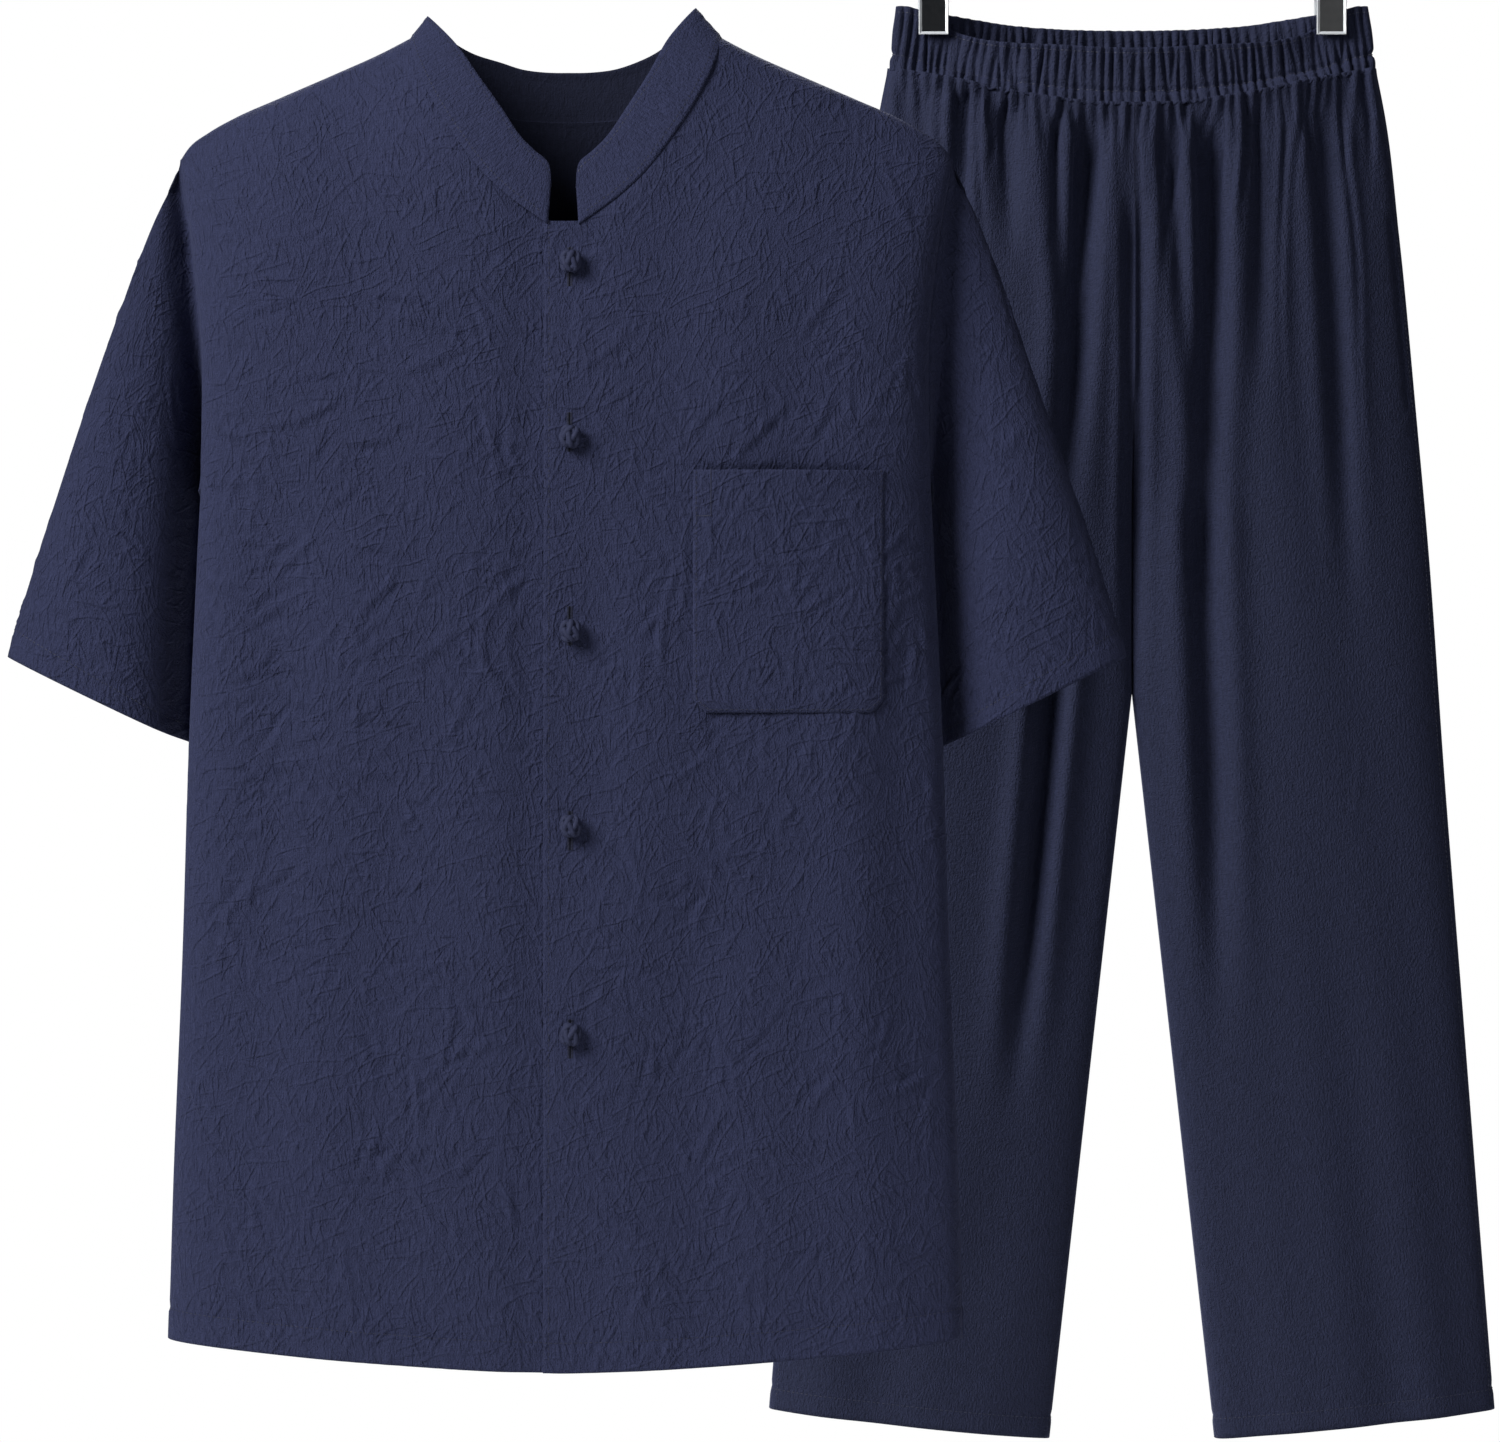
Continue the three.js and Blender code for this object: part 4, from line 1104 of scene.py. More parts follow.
def woven_cloth(name, colour, crinkle, grain, slub, rough):
    """Woven cloth, piece-dyed and washed. The eye sees a matt, slightly furry surface: fine
    upright slubs, a speckle of lighter yarns and, where it is crinkled, a net of sharp little
    creases. The yarns are about 0.4 mm apart, and are drawn at 0.8 mm so that they show."""
    material, tree, shader = new_material(name)
    cloth = add_node(tree, "ShaderNodeUVMap", {"uv_map": "cloth"}).outputs["UV"]
    mm = add_node(tree, "ShaderNodeVectorMath", {"operation": "SCALE"}, Vector=cloth, Scale=1 / MM)
    mm = mm.outputs["Vector"]

    def noise(scale_x, scale_y, detail, seed=0.0):
        """Noise with features of these sizes in millimetres, across and along the cloth."""
        spread = add_node(
            tree, "ShaderNodeMapping", Vector=mm, Location=(seed, seed * 1.7, seed * 0.3),
            Scale=(1 / scale_x, 1 / scale_y, 1),
        )
        spread = spread.outputs["Vector"]
        found = add_node(
            tree, "ShaderNodeTexNoise", FLAT_NOISE, Vector=spread, Scale=1, Detail=detail
        )
        return found.outputs[0]

    def maths(operation, a, b):
        return add_node(tree, "ShaderNodeMath", {"operation": operation}, i0=a, i1=b).outputs[0]

    bend = add_node(tree, "ShaderNodeTexNoise", FLAT_NOISE, Vector=mm, Scale=1 / 30, Detail=0)
    scaled = {"operation": "SCALE"}
    pull = add_node(tree, "ShaderNodeVectorMath", scaled, Vector=bend.outputs["Color"], Scale=9)
    bent = add_node(tree, "ShaderNodeVectorMath", {"operation": "ADD"}, i0=mm, i1=pull.outputs[0])

    def crease_net(turn, wide, tall, seed, patch):
        """Sharp ridges round long narrow cells that lean by turn degrees, which come and go."""
        turned = add_node(
            tree, "ShaderNodeVectorRotate", {"rotation_type": "Z_AXIS"},
            Vector=bent.outputs["Vector"], Angle=math.radians(turn),
        )
        spread = add_node(
            tree, "ShaderNodeMapping", Vector=turned.outputs["Vector"],
            Location=(seed, seed * 1.7, seed * 0.3), Scale=(1 / wide, 1 / tall, 1),
        )
        cells = add_node(
            tree, "ShaderNodeTexVoronoi",
            {"feature": "DISTANCE_TO_EDGE", "voronoi_dimensions": "2D"},
            Vector=spread.outputs["Vector"], Scale=1,
        )
        ridge = add_node(
            tree, "ShaderNodeMapRange", {"interpolation_type": "SMOOTHERSTEP"},
            Value=cells.outputs["Distance"], From_Min=0, From_Max=1.35 / wide, To_Min=1, To_Max=0,
        )
        comes = add_node(
            tree, "ShaderNodeMapRange", {"interpolation_type": "SMOOTHSTEP"},
            Value=noise(patch, patch * 1.3, 1, seed=seed + 40), From_Min=0.42, From_Max=0.62,
        )
        return maths("MULTIPLY", ridge.outputs["Result"], comes.outputs["Result"])

    slubs = noise(0.9, 9, 1)
    weft = noise(6, 0.8, 1, seed=5)
    speckle = noise(0.8, 0.9, 1, seed=9)
    broad = noise(70, 90, 1, seed=3)

    shade = maths("ADD", maths("MULTIPLY", slubs, 0.45), maths("MULTIPLY", weft, 0.2))
    shade = maths("ADD", shade, maths("MULTIPLY", speckle, 0.35))
    tone = add_node(tree, "ShaderNodeMapRange", Value=shade, From_Min=0.34, From_Max=0.66)
    dark, light, washed = (linear(colour, gain) for gain in (0.72, 1.32, 1.16))
    yarns = add_node(tree, "ShaderNodeMix", RGBA, i0=tone.outputs["Result"], i6=dark, i7=light)
    wash = maths("MULTIPLY", broad, 0.35)
    mixed = add_node(tree, "ShaderNodeMix", RGBA, i0=wash, i6=yarns.outputs[2], i7=washed)

    nets = [crease_net(*net) for net in CREASE_NETS]
    creases = nets[0]
    for net in nets[1:]:
        creases = maths("ADD", creases, net)
    pebbles = noise(1.5, 2.1, 1, seed=17)
    relief = maths("MULTIPLY", creases, crinkle)
    relief = maths("ADD", relief, maths("MULTIPLY", pebbles, grain))
    fold = add_node(tree, "ShaderNodeBump", Height=relief, Strength=1, Distance=1 * MM)
    yarn_height = maths("ADD", shade, maths("MULTIPLY", speckle, 0.5))
    weave = add_node(
        tree, "ShaderNodeBump", Height=yarn_height, Normal=fold.outputs["Normal"],
        Strength=slub, Distance=0.5 * MM,
    )
    set_inputs(
        tree, shader, Base_Color=mixed.outputs[2], Normal=weave.outputs["Normal"], Roughness=rough,
        Specular_IOR_Level=0.15, Sheen_Weight=0.16, Sheen_Roughness=0.45,
        Sheen_Tint=linear("#8F97C8"),
    )
    return material


def sewing_thread(name, colour):
    """Spun polyester thread: a little smoother and darker than the cloth, twisted in ply."""
    material, tree, shader = new_material(name)
    place = add_node(tree, "ShaderNodeTexCoord").outputs["Object"]
    ply = add_node(tree, "ShaderNodeTexNoise", Vector=place, Scale=900.0, Detail=1.0)
    dark, light = linear(colour, 0.8), linear(colour, 1.3)
    tone = add_node(tree, "ShaderNodeMix", RGBA, i0=ply.outputs[0], i6=dark, i7=light)
    set_inputs(tree, shader, Base_Color=tone.outputs[2], Roughness=0.6)
    return material


def bias_cord(name, colour):
    """Bias-cut cloth rolled into cord: matt, with fine slanting threads along it."""
    material, tree, shader = new_material(name)
    place = add_node(tree, "ShaderNodeTexCoord").outputs["Object"]
    threads = add_node(
        tree, "ShaderNodeTexWave", Vector=place, Scale=420.0, Distortion=2.5, Detail=2.0
    )
    fluff = add_node(tree, "ShaderNodeTexNoise", Vector=place, Scale=700.0, Detail=3.0)
    dark, light = linear(colour, 0.7), linear(colour, 1.3)
    tone = add_node(tree, "ShaderNodeMix", RGBA, i0=fluff.outputs[0], i6=dark, i7=light)
    weave = add_node(
        tree, "ShaderNodeBump", Height=threads.outputs[0], Strength=0.35, Distance=0.25 * MM
    )
    set_inputs(
        tree, shader, Base_Color=tone.outputs[2], Normal=weave.outputs["Normal"], Roughness=0.75,
        Specular_IOR_Level=0.2,
    )
    return material


def hard_finish(name, colour, rough, metallic=0.0, grain=0.08, scale=300.0, transmission=0.0):
    """A hard surface whose roughness varies a little, as handling leaves it."""
    material, tree, shader = new_material(name)
    place = add_node(tree, "ShaderNodeTexCoord").outputs["Object"]
    smear = add_node(tree, "ShaderNodeTexNoise", Vector=place, Scale=scale, Detail=3.0)
    low, high = max(0.02, rough - grain), rough + grain
    span = add_node(tree, "ShaderNodeMapRange", Value=smear.outputs[0], To_Min=low, To_Max=high)
    dark, light = linear(colour, 0.88), linear(colour)
    tone = add_node(tree, "ShaderNodeMix", RGBA, i0=smear.outputs[0], i6=dark, i7=light)
    set_inputs(
        tree, shader, Base_Color=tone.outputs[2], Roughness=span.outputs["Result"],
        Metallic=metallic, Transmission_Weight=transmission,
    )
    return material


FINISHES = {}


def finish(name):
    """The suit's finishes, each made once."""
    if name not in FINISHES:
        suit = bpy.context.scene.suit
        shirt = "#%02X%02X%02X" % tuple(round(c * 255) for c in suit.shirt_colour)
        trousers = "#%02X%02X%02X" % tuple(round(c * 255) for c in suit.trouser_colour)
        makers = {
            "shirt": lambda: woven_cloth("Crinkled cotton linen", shirt, 0.52, 0.75, 1.0, 0.84),
            "band": lambda: woven_cloth("Interlined cotton linen", shirt, 0.14, 0.75, 1.0, 0.84),
            "trousers": lambda: woven_cloth("Washed viscose twill", trousers, 0.08, 0.7, 1.0, 0.8),
            "thread": lambda: sewing_thread("Spun polyester thread", "#25283C"),
            "cord": lambda: bias_cord("Rolled bias cord", "#2C3049"),
            # The inner face's darker colour is painted shade for the hollow inside the shirt, seen
            # through the neck.
            "inside": lambda: woven_cloth(
                "Cloth inside with painted shade", "#1A1D2E", 0.1, 0.3, 0.6, 0.88
            ),
            # The slits' near-black colour is painted shade for the dark gap of each cut.
            "slit": lambda: bias_cord("Painted shade in the slit", "#05060A"),
            "clear": lambda: hard_finish("Clear polystyrene", "#E6EAEE", 0.14, transmission=0.25),
            "smoke": lambda: hard_finish("Polystyrene over rubber", "#15171A", 0.2),
            "rubber": lambda: hard_finish("Ribbed black rubber", "#17181B", 0.62),
            "steel": lambda: hard_finish("Bright nickel-plated steel", "#CDD0D4", 0.2, 1.0),
        }
        FINISHES[name] = makers[name]()
    return FINISHES[name]


# ---------------------------------------------------------------- stitches


def stitch_line(grid, u, v, pitch=STITCH_PITCH):
    """Places along a line on a cloth grid, a pitch apart, as points, directions and normals."""
    fine = np.linspace(0, 1, 500)
    knots = np.linspace(0, 1, len(u))
    points, normals = grid.at(np.interp(fine, knots, u), np.interp(fine, knots, v))
    travelled = np.concatenate(([0], np.cumsum(np.linalg.norm(np.diff(points, axis=0), axis=1))))
    marks = np.arange(pitch / 2, travelled[-1], pitch)
    directions = np.gradient(points, axis=0)
    read = lambda field: np.stack([np.interp(marks, travelled, field[:, k]) for k in range(3)], 1)
    return read(points), read(directions), read(normals)


def unit(vectors):
    return vectors / np.maximum(np.linalg.norm(vectors, axis=-1, keepdims=True), 1e-9)


def thread_piece(name, lines, size, slot, material):
    """One joined mesh of small stitches: each is a block with chamfered ends, laid on the cloth."""
    block = bmesh.new()
    bmesh.ops.create_cube(block, size=1)
    bmesh.ops.scale(block, vec=size, verts=block.verts)
    top = [v for v in block.verts if v.co.z > 0]
    bmesh.ops.scale(block, vec=(0.62, 0.6, 1), verts=top)
    shape = np.array([v.co for v in block.verts])
    faces = np.array([[v.index for v in face.verts] for face in block.faces])
    block.free()
    points = np.vstack([line[0] for line in lines])
    along = unit(np.vstack([line[1] for line in lines]))
    out = unit(np.vstack([line[2] for line in lines]))
    across = unit(np.cross(out, along))
    along = np.cross(across, out)
    placed = (
        points[:, None]
        + shape[None, :, :1] * along[:, None]
        + shape[None, :, 1:2] * across[:, None]
        + shape[None, :, 2:] * out[:, None]
    )
    count = len(points)
    all_faces = faces[None] + (np.arange(count) * len(shape))[:, None, None]
    mesh = bpy.data.meshes.new(name)
    mesh.from_pydata((placed.reshape(-1, 3) * MM).tolist(), [], all_faces.reshape(-1, 4).tolist())
    mesh.materials.append(material)
    piece = bpy.data.objects.new(name, mesh)
    bpy.context.scene.collection.objects.link(piece)
    declare(piece, slot)
    return piece


GRIDS = {}


def level_line(grid, at_v, low=0.0, high=1.0):
    """A line across a grid at heights at_v(u)."""
    u = np.linspace(low, high, 60)
    return stitch_line(grid, u, np.array([float(at_v(k)) for k in u]))


# ---------------------------------------------------------------- settings and operators


class SuitSettings(bpy.types.PropertyGroup):
    """Colours and sizes of the suit that a user would change."""

    shirt_colour: bpy.props.FloatVectorProperty(
        name="Shirt colour",
        description="Dyed colour of the shirt's cloth, as sRGB values",
        subtype="COLOR_GAMMA",
        min=0,
        max=1,
        default=(0x2B / 255, 0x2F / 255, 0x49 / 255),
    )
    trouser_colour: bpy.props.FloatVectorProperty(
        name="Trouser colour",
        description="Dyed colour of the trousers' cloth, as sRGB values",
        subtype="COLOR_GAMMA",
        min=0,
        max=1,
        default=(0x20 / 255, 0x24 / 255, 0x39 / 255),
    )
    cloth_thickness: bpy.props.FloatProperty(
        name="Cloth thickness",
        description="Thickness of the cloth with its turned edges",
        unit="LENGTH",
        default=1.2 * MM,
        min=0.3 * MM,
        max=2 * MM,
    )
    front_bursts: bpy.props.IntProperty(
        name="Crease bursts",
        description="How many bursts of creases each front has, beside its main ones",
        default=80,
        min=0,
        max=200,
    )


def cloth_spec(context, material, grid, slot, *nodes, **more):
    thickness = context.scene.suit.cloth_thickness / MM
    spec = {"grid": grid, "material": finish(material), "slot": slot, "replaces": nodes}
    # Shirt pieces take the darker inner face, which is painted shade.
    spec["inside"] = slot == "shirt_cloth"
    return {**spec, "thickness": thickness, **more}


class SUIT_OT_shirt_panels(bpy.types.Operator):
    """Make the two fronts and the back of the shirt"""

    bl_idname = "suit.shirt_panels"
    bl_label = "Shirt fronts and back"

    def execute(self, context):
        bursts = context.scene.suit.front_bursts
        rng = np.random.default_rng(11)
        right = burst_creases(rng, (-240, 20, 0, 720), bursts, (0.4, 1.1))
        left = burst_creases(rng, (-10, 20, 240, 720), bursts, (0.35, 0.95))
        back = burst_creases(rng, (-240, 20, 240, 760), 2 * bursts, (0.4, 1.1))
        deeper = [c._replace(high=MAIN_CREASE_GAIN * c.high) for c in FRONT_CREASES]
        main_right = [c for c in deeper if c.x1 < 0]
        main_left = [c for c in deeper if c.x1 > 0]
        right_form = shirt_panel_form("front", right_front_columns, lap_inset)
        right_relief = under_lap_relief(panel_relief("front", main_right + right, 4))
        left_form = shirt_panel_form("front", left_front_columns)
        left_relief = placket_relief(panel_relief("front", main_left + left, 3))
        back_form = shirt_panel_form("back", back_columns)
        back_relief = panel_relief("back", back, 5)
        for name, node, grid, form, relief in (
            ("left_front", "shirt_front_left", (112, 322), left_form, left_relief),
            ("right_front", "shirt_front_right", (112, 322), right_form, right_relief),
            ("back", "shirt_back", (130, 190), back_form, back_relief),
        ):
            spec = cloth_spec(context, "shirt", grid, "shirt_cloth", node)
            GRIDS[name] = cloth_piece(name, spec, form, relief, SHIRT_AT)
        return {"FINISHED"}


class SUIT_OT_sleeves(bpy.types.Operator):
    """Make the two short set-in sleeves"""

    bl_idname = "suit.sleeves"
    bl_label = "Sleeves"

    def execute(self, context):
        for word, side, seed in (("left", 1, 51), ("right", -1, 52)):
            node = "sleeve_" + word
            spec = cloth_spec(context, "shirt", (110, 98), "shirt_cloth", node, slanted=True)
            form, relief = sleeve_form(side), sleeve_relief(seed)
            name = word + "_sleeve"
            GRIDS[node] = cloth_piece(name, spec, form, relief, SHIRT_AT, closed=True)
        return {"FINISHED"}


class SUIT_OT_collar(bpy.types.Operator):
    """Make the stand collar"""

    bl_idname = "suit.collar"
    bl_label = "Stand collar"

    def execute(self, context):
        spec = cloth_spec(context, "band", (230, 20), "shirt_cloth", "stand_collar")
        GRIDS["collar"] = cloth_piece("collar_band", spec, collar_form, collar_relief, SHIRT_AT)
        return {"FINISHED"}


class SUIT_OT_pocket(bpy.types.Operator):
    """Make the patch pocket on the left front"""

    bl_idname = "suit.pocket"
    bl_label = "Chest pocket"

    def execute(self, context):
        spec = cloth_spec(context, "shirt", (70, 88), "shirt_cloth", "chest_pocket")
        spec.update(rests_on=("left_front",), thickness=POCKET_THICK)
        GRIDS["pocket"] = cloth_piece("pocket_patch", spec, pocket_form, pocket_relief, SHIRT_AT)
        return {"FINISHED"}


class SUIT_OT_knot_buttons(bpy.types.Operator):
    """Make the knot buttons and the stitched slits that they pass through"""

    bl_idname = "suit.knot_buttons"
    bl_label = "Knot buttons"

    def execute(self, context):
        for number, z in enumerate(BUTTON_HEIGHTS):
            self.knot(number + 1, z)
        self.buttonholes()
        return {"FINISHED"}

    def knot(self, number, z):
        """A ball knot: one cord that winds round and weaves over and under itself."""
        on_cloth = float(shirt_y("front", np.array([BUTTON_X]), np.array([float(z)]))[0])
        centre = np.array((BUTTON_X, on_cloth - KNOT_DEEP - KNOT_CLEAR, z)) + SHIRT_AT
        turn = np.linspace(0, math.tau, 160, endpoint=False)
        around = KNOT_LEADS * turn + 0.7 * number
        up = KNOT_RISE * np.sin(KNOT_BIGHTS * turn)
        swell = 1 + KNOT_SWELL * np.sin(2 * KNOT_BIGHTS * turn + 0.6)
        girth = np.sqrt(1 - (KNOT_WAIST * up) ** 2) * swell
        high = up * swell * KNOT_SQUASH
        inner = np.array((KNOT_WIDE, KNOT_DEEP, KNOT_TALL)) - KNOT_CORD
        path = np.stack((girth * np.cos(around), girth * np.sin(around), high), 1) * inner
        tilt = np.array(Matrix.Rotation(KNOT_TILT * (number % 3 - 1), 3, "Y"))
        path = path @ tilt.T + centre
        name = "knot_%d" % number
        ball = wire_work(name, path * MM, KNOT_CORD * MM, 2, cyclic=True)
        core = bmesh.ops.create_icosphere(ball, subdivisions=2, radius=1)["verts"]
        bmesh.ops.scale(ball, vec=Vector(inner * KNOT_CORE * MM), verts=core)
        bmesh.ops.translate(ball, vec=Vector(centre * MM), verts=core)
        bmesh.ops.remove_doubles(ball, verts=ball.verts, dist=1e-7)
        bmesh.ops.recalc_face_normals(ball, faces=ball.faces)
        piece = finish_mesh(name, ball, finish("cord"))
        declare(piece, "knot_cord", "knot_button_%d" % number)

    def buttonholes(self):
        """Each slit is a line of near-black blocks, painted shade for the dark gap of the cut, with
        close stitches across its two edges and both ends.
        """
        grid = GRIDS["left_front"]
        u = float(uncrowd((BUTTON_X - 0.4 - PLACKET_X) / FRONT_WIDE, SIDE_CROWD))
        aside = HOLE_ASIDE / FRONT_WIDE
        top = float(top_z("front", np.array([BUTTON_X]))[0])
        edges, slits = [], []
        for number, z in enumerate(BUTTON_HEIGHTS):
            middle = z + HOLE_DROP * (1 if number in (1, 2) else -1)
            ends = np.array((middle - HOLE_LENGTH / 2, middle + HOLE_LENGTH / 2))
            reach = uncrowd((ends - HEM_CENTRE_Z) / (top - HEM_CENTRE_Z), SHOULDER_CROWD)
            for away in (-aside, aside):
                points, along, out = stitch_line(grid, [u + away] * 2, reach, 0.75)
                edges.append((points, np.cross(out, along), out))
            slits.append(stitch_line(grid, [u, u], reach, 1.5))
        thread = finish("thread")
        thread_piece("buttonhole_stitches", edges, HOLE_STITCH, "shirt_cloth", thread)
        # The slit blocks are painted shade: near-black where the cut's gap lies in shadow.
        thread_piece("buttonhole_painted_shade", slits, HOLE_SLIT, "shirt_cloth", finish("slit"))


class SUIT_OT_trouser_panels(bpy.types.Operator):
    """Make the four panels of the trousers"""

    bl_idname = "suit.trouser_panels"
    bl_label = "Trouser panels"

    def execute(self, context):
        for face, grid in (("front", (92, 238)), ("back", (76, 186))):
            for word, side in (("left", 1), ("right", -1)):
                name = f"{word}_trouser_{face}"
                node = f"trouser_{face}_{word}"
                spec = cloth_spec(context, "trousers", grid, "trouser_cloth", node)
                spec["rests_on"] = ("elastic_casing",)
                seed = 60 + 2 * side + (face == "back")
                form = trouser_form(face, side)
                relief = trouser_relief(face, side, seed)
                GRIDS[name] = cloth_piece(name, spec, form, relief, TROUSERS_AT)
        return {"FINISHED"}


class SUIT_OT_casing(bpy.types.Operator):
    """Make the gathered elastic casing at the waist"""

    bl_idname = "suit.casing"
    bl_label = "Elastic casing"

    def execute(self, context):
        spec = cloth_spec(context, "trousers", (820, 26), "trouser_cloth", "waistband")
        spec.update(held="gathered", fullness=CASING_FULLNESS)
        GRIDS["casing"] = cloth_piece(
            "elastic_casing", spec, casing_form, casing_relief, TROUSERS_AT, closed=True
        )
        return {"FINISHED"}


class SUIT_OT_stitches(bpy.types.Operator):
    """Lay the rows of stitches on hems, placket, pocket, collar, casing and seams"""

    bl_idname = "suit.stitches"
    bl_label = "Stitches"

    def execute(self, context):
        thread = finish("thread")
        thread_piece("shirt_stitches", self.shirt_rows(), STITCH_SIZE, "shirt_cloth", thread)
        thread_piece("trouser_stitches", self.trouser_rows(), STITCH_SIZE, "trouser_cloth", thread)
        return {"FINISHED"}

    def shirt_rows(self):
        rows = []
        for name, face, columns_at in (
            ("left_front", "front", left_front_columns),
            ("right_front", "front", right_front_columns),
            ("back", "back", back_columns),
        ):
            def hem(k):
                column = columns_at(np.array([k]))
                tall = top_z(face, column) - hem_z(column)
                return uncrowd(SHIRT_HEM / tall, SHOULDER_CROWD)[0]

            rows.append(level_line(GRIDS[name], hem))
        placket = uncrowd(PLACKET_STITCH / FRONT_WIDE, SIDE_CROWD)
        rows.append(stitch_line(GRIDS["left_front"], [placket] * 2, [0.01, 0.995]))
        for word in ("left", "right"):
            rows.append(level_line(GRIDS["sleeve_" + word], lambda k: SLEEVE_HEM / SLEEVE_LONG))
        for up in (0.9, 0.13):
            rows.append(level_line(GRIDS["collar"], lambda k: up, 0.01, 0.99))
        left, low = STITCH_INSET / POCKET_WIDE, STITCH_INSET / POCKET_TALL
        right = 1 - left
        corner_u, corner_v = POCKET_CORNER / POCKET_WIDE, POCKET_CORNER / POCKET_TALL
        outline_u = [left, left, corner_u * 0.5, 1 - corner_u * 0.5, right, right]
        outline_v = [1, corner_v + low, low, low, corner_v + low, 1]
        pocket = GRIDS["pocket"]
        for k in range(5):
            rows.append(stitch_line(pocket, outline_u[k : k + 2], outline_v[k : k + 2]))
        # A long narrow bartack box strengthens the pocket's inner top corner.
        tack_u, tack_v = TACK_WIDE / POCKET_WIDE, 1 - TACK_TALL / POCKET_TALL
        rows.append(stitch_line(pocket, [left, tack_u], [tack_v, tack_v], TACK_PITCH))
        rows.append(stitch_line(pocket, [tack_u, tack_u], [tack_v, 1], TACK_PITCH))
        return rows

    def trouser_rows(self):
        rows = []
        for face in ("front", "back"):
            for word, side in (("left", 1), ("right", -1)):
                grid = GRIDS[f"{word}_trouser_{face}"]
                rows.append(level_line(grid, lambda k: TROUSER_HEM / TROUSER_LONG))
                near_side = 0.965 if (face == "front") == (side > 0) else 0.035
                rows.append(stitch_line(grid, [near_side] * 2, [0.01, 0.99]))
        casing = GRIDS["casing"]
        for up in (CASING_STITCH, CASING_TALL - CASING_TOP_STITCH):
            rows.append(level_line(casing, lambda k: up / CASING_TALL))
        return rows


class SUIT_OT_clips(bpy.types.Operator):
    """Make the two spring clips that grip the casing"""

    bl_idname = "suit.clips"
    bl_label = "Clips"

    def execute(self, context):
        for word in ("left", "right"):
            for face in ("front", "back"):
                self.jaw(word, face)
                self.pad(word, face)
            self.saddle(word)
        return {"FINISHED"}

    def jaw(self, word, face):
        """A clear plate with a raised rim round a shallow window, over the black pad."""
        node = f"clip_jaw_{word}_{face}"
        plate = block_from(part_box(node))
        out = -1 if face == "front" else 1
        bmesh.ops.bevel(
            plate, geom=plate.edges[:], offset=JAW_ROUND * MM, segments=2, profile=0.5,
            affect="EDGES", material=-1,
        )
        outer = max(plate.faces, key=lambda f: f.calc_center_median().y * out + f.calc_area())
        bmesh.ops.inset_individual(plate, faces=[outer], thickness=JAW_RIM * MM)
        bmesh.ops.translate(plate, vec=(0, -out * JAW_SUNK * MM, 0), verts=outer.verts)
        outer.material_index = 1
        piece = finish_mesh(f"jaw_{word}_{face}", plate, finish("clear"), smooth=False)
        piece.data.materials.append(finish("smoke"))
        declare(piece, "clear_plastic", node)

    def pad(self, word, face):
        """A rubber pad with level ribs on its gripping face."""
        node = f"clip_pad_{word}_{face}"
        pad = block_from(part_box(node))
        uprights = [e for e in pad.edges if abs(e.verts[0].co.z - e.verts[1].co.z) > 5 * MM]
        bmesh.ops.subdivide_edges(pad, edges=uprights, cuts=PAD_CUTS, use_grid_fill=True)
        levels = sorted({round(v.co.z, 6) for v in pad.verts})
        ribbed = [v for v in pad.verts if levels.index(round(v.co.z, 6)) % 2]
        middle = sum((v.co.y for v in pad.verts)) / len(pad.verts)
        for vertex in ribbed:
            vertex.co.y = middle + (vertex.co.y - middle) * PAD_GROOVE
        piece = finish_mesh(f"pad_{word}_{face}", pad, finish("rubber"), smooth=False)
        declare(piece, "rubber", node)

    def saddle(self, word):
        """The spring strip that rides over the bar."""
        node = "clip_saddle_" + word
        low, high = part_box(node)
        middle = (low + high) / 2
        radius = (high.y - low.y) / 2 - SADDLE_INSET * MM
        strip = bmesh.new()
        start = strip.verts.new((low.x, middle.y + radius, low.z))
        end = strip.verts.new((high.x, middle.y + radius, low.z))
        foot = strip.edges.new((start, end))
        rise = high.z - radius - SADDLE_INSET * MM - low.z
        up = bmesh.ops.extrude_edge_only(strip, edges=[foot])["geom"]
        raised = [g for g in up if isinstance(g, bmesh.types.BMVert)]
        bmesh.ops.translate(strip, vec=(0, 0, rise), verts=raised)
        edges = [g for g in up if isinstance(g, bmesh.types.BMEdge)]
        edge = [g for g in edges if not {*g.verts} & {start, end}]
        bmesh.ops.spin(
            strip, geom=edge, cent=(0, middle.y, low.z + rise), axis=(1, 0, 0), dvec=(0, 0, 0),
            angle=math.pi, steps=20, use_merge=False, use_duplicate=False,
        )
        tips = [v for v in strip.verts if v.co.y < middle.y and abs(v.co.z - low.z - rise) < 1e-6]
        last = [e for e in strip.edges if all(v in tips for v in e.verts)]
        down = bmesh.ops.extrude_edge_only(strip, edges=last)["geom"]
        lowered = [g for g in down if isinstance(g, bmesh.types.BMVert)]
        bmesh.ops.translate(strip, vec=(0, 0, -rise), verts=lowered)
        bmesh.ops.remove_doubles(strip, verts=strip.verts, dist=1e-6)
        bmesh.ops.recalc_face_normals(strip, faces=strip.faces)
        piece = finish_mesh("saddle_" + word, strip, finish("steel"))
        wall = piece.modifiers.new("Strip thickness", "SOLIDIFY")
        wall.thickness = SADDLE_THICK * MM
        wall.offset = 0
        edge_round = piece.modifiers.new("Rounded edges", "BEVEL")
        edge_round.width = SADDLE_ROUND * MM
        edge_round.segments = 2
        declare(piece, "steel", node)


def block_from(corners):
    """A block between two corners."""
    low, high = corners
    block = bmesh.new()
    bmesh.ops.create_cube(block, size=1)
    bmesh.ops.scale(block, vec=high - low, verts=block.verts)
    bmesh.ops.translate(block, vec=(low + high) / 2, verts=block.verts)
    return block


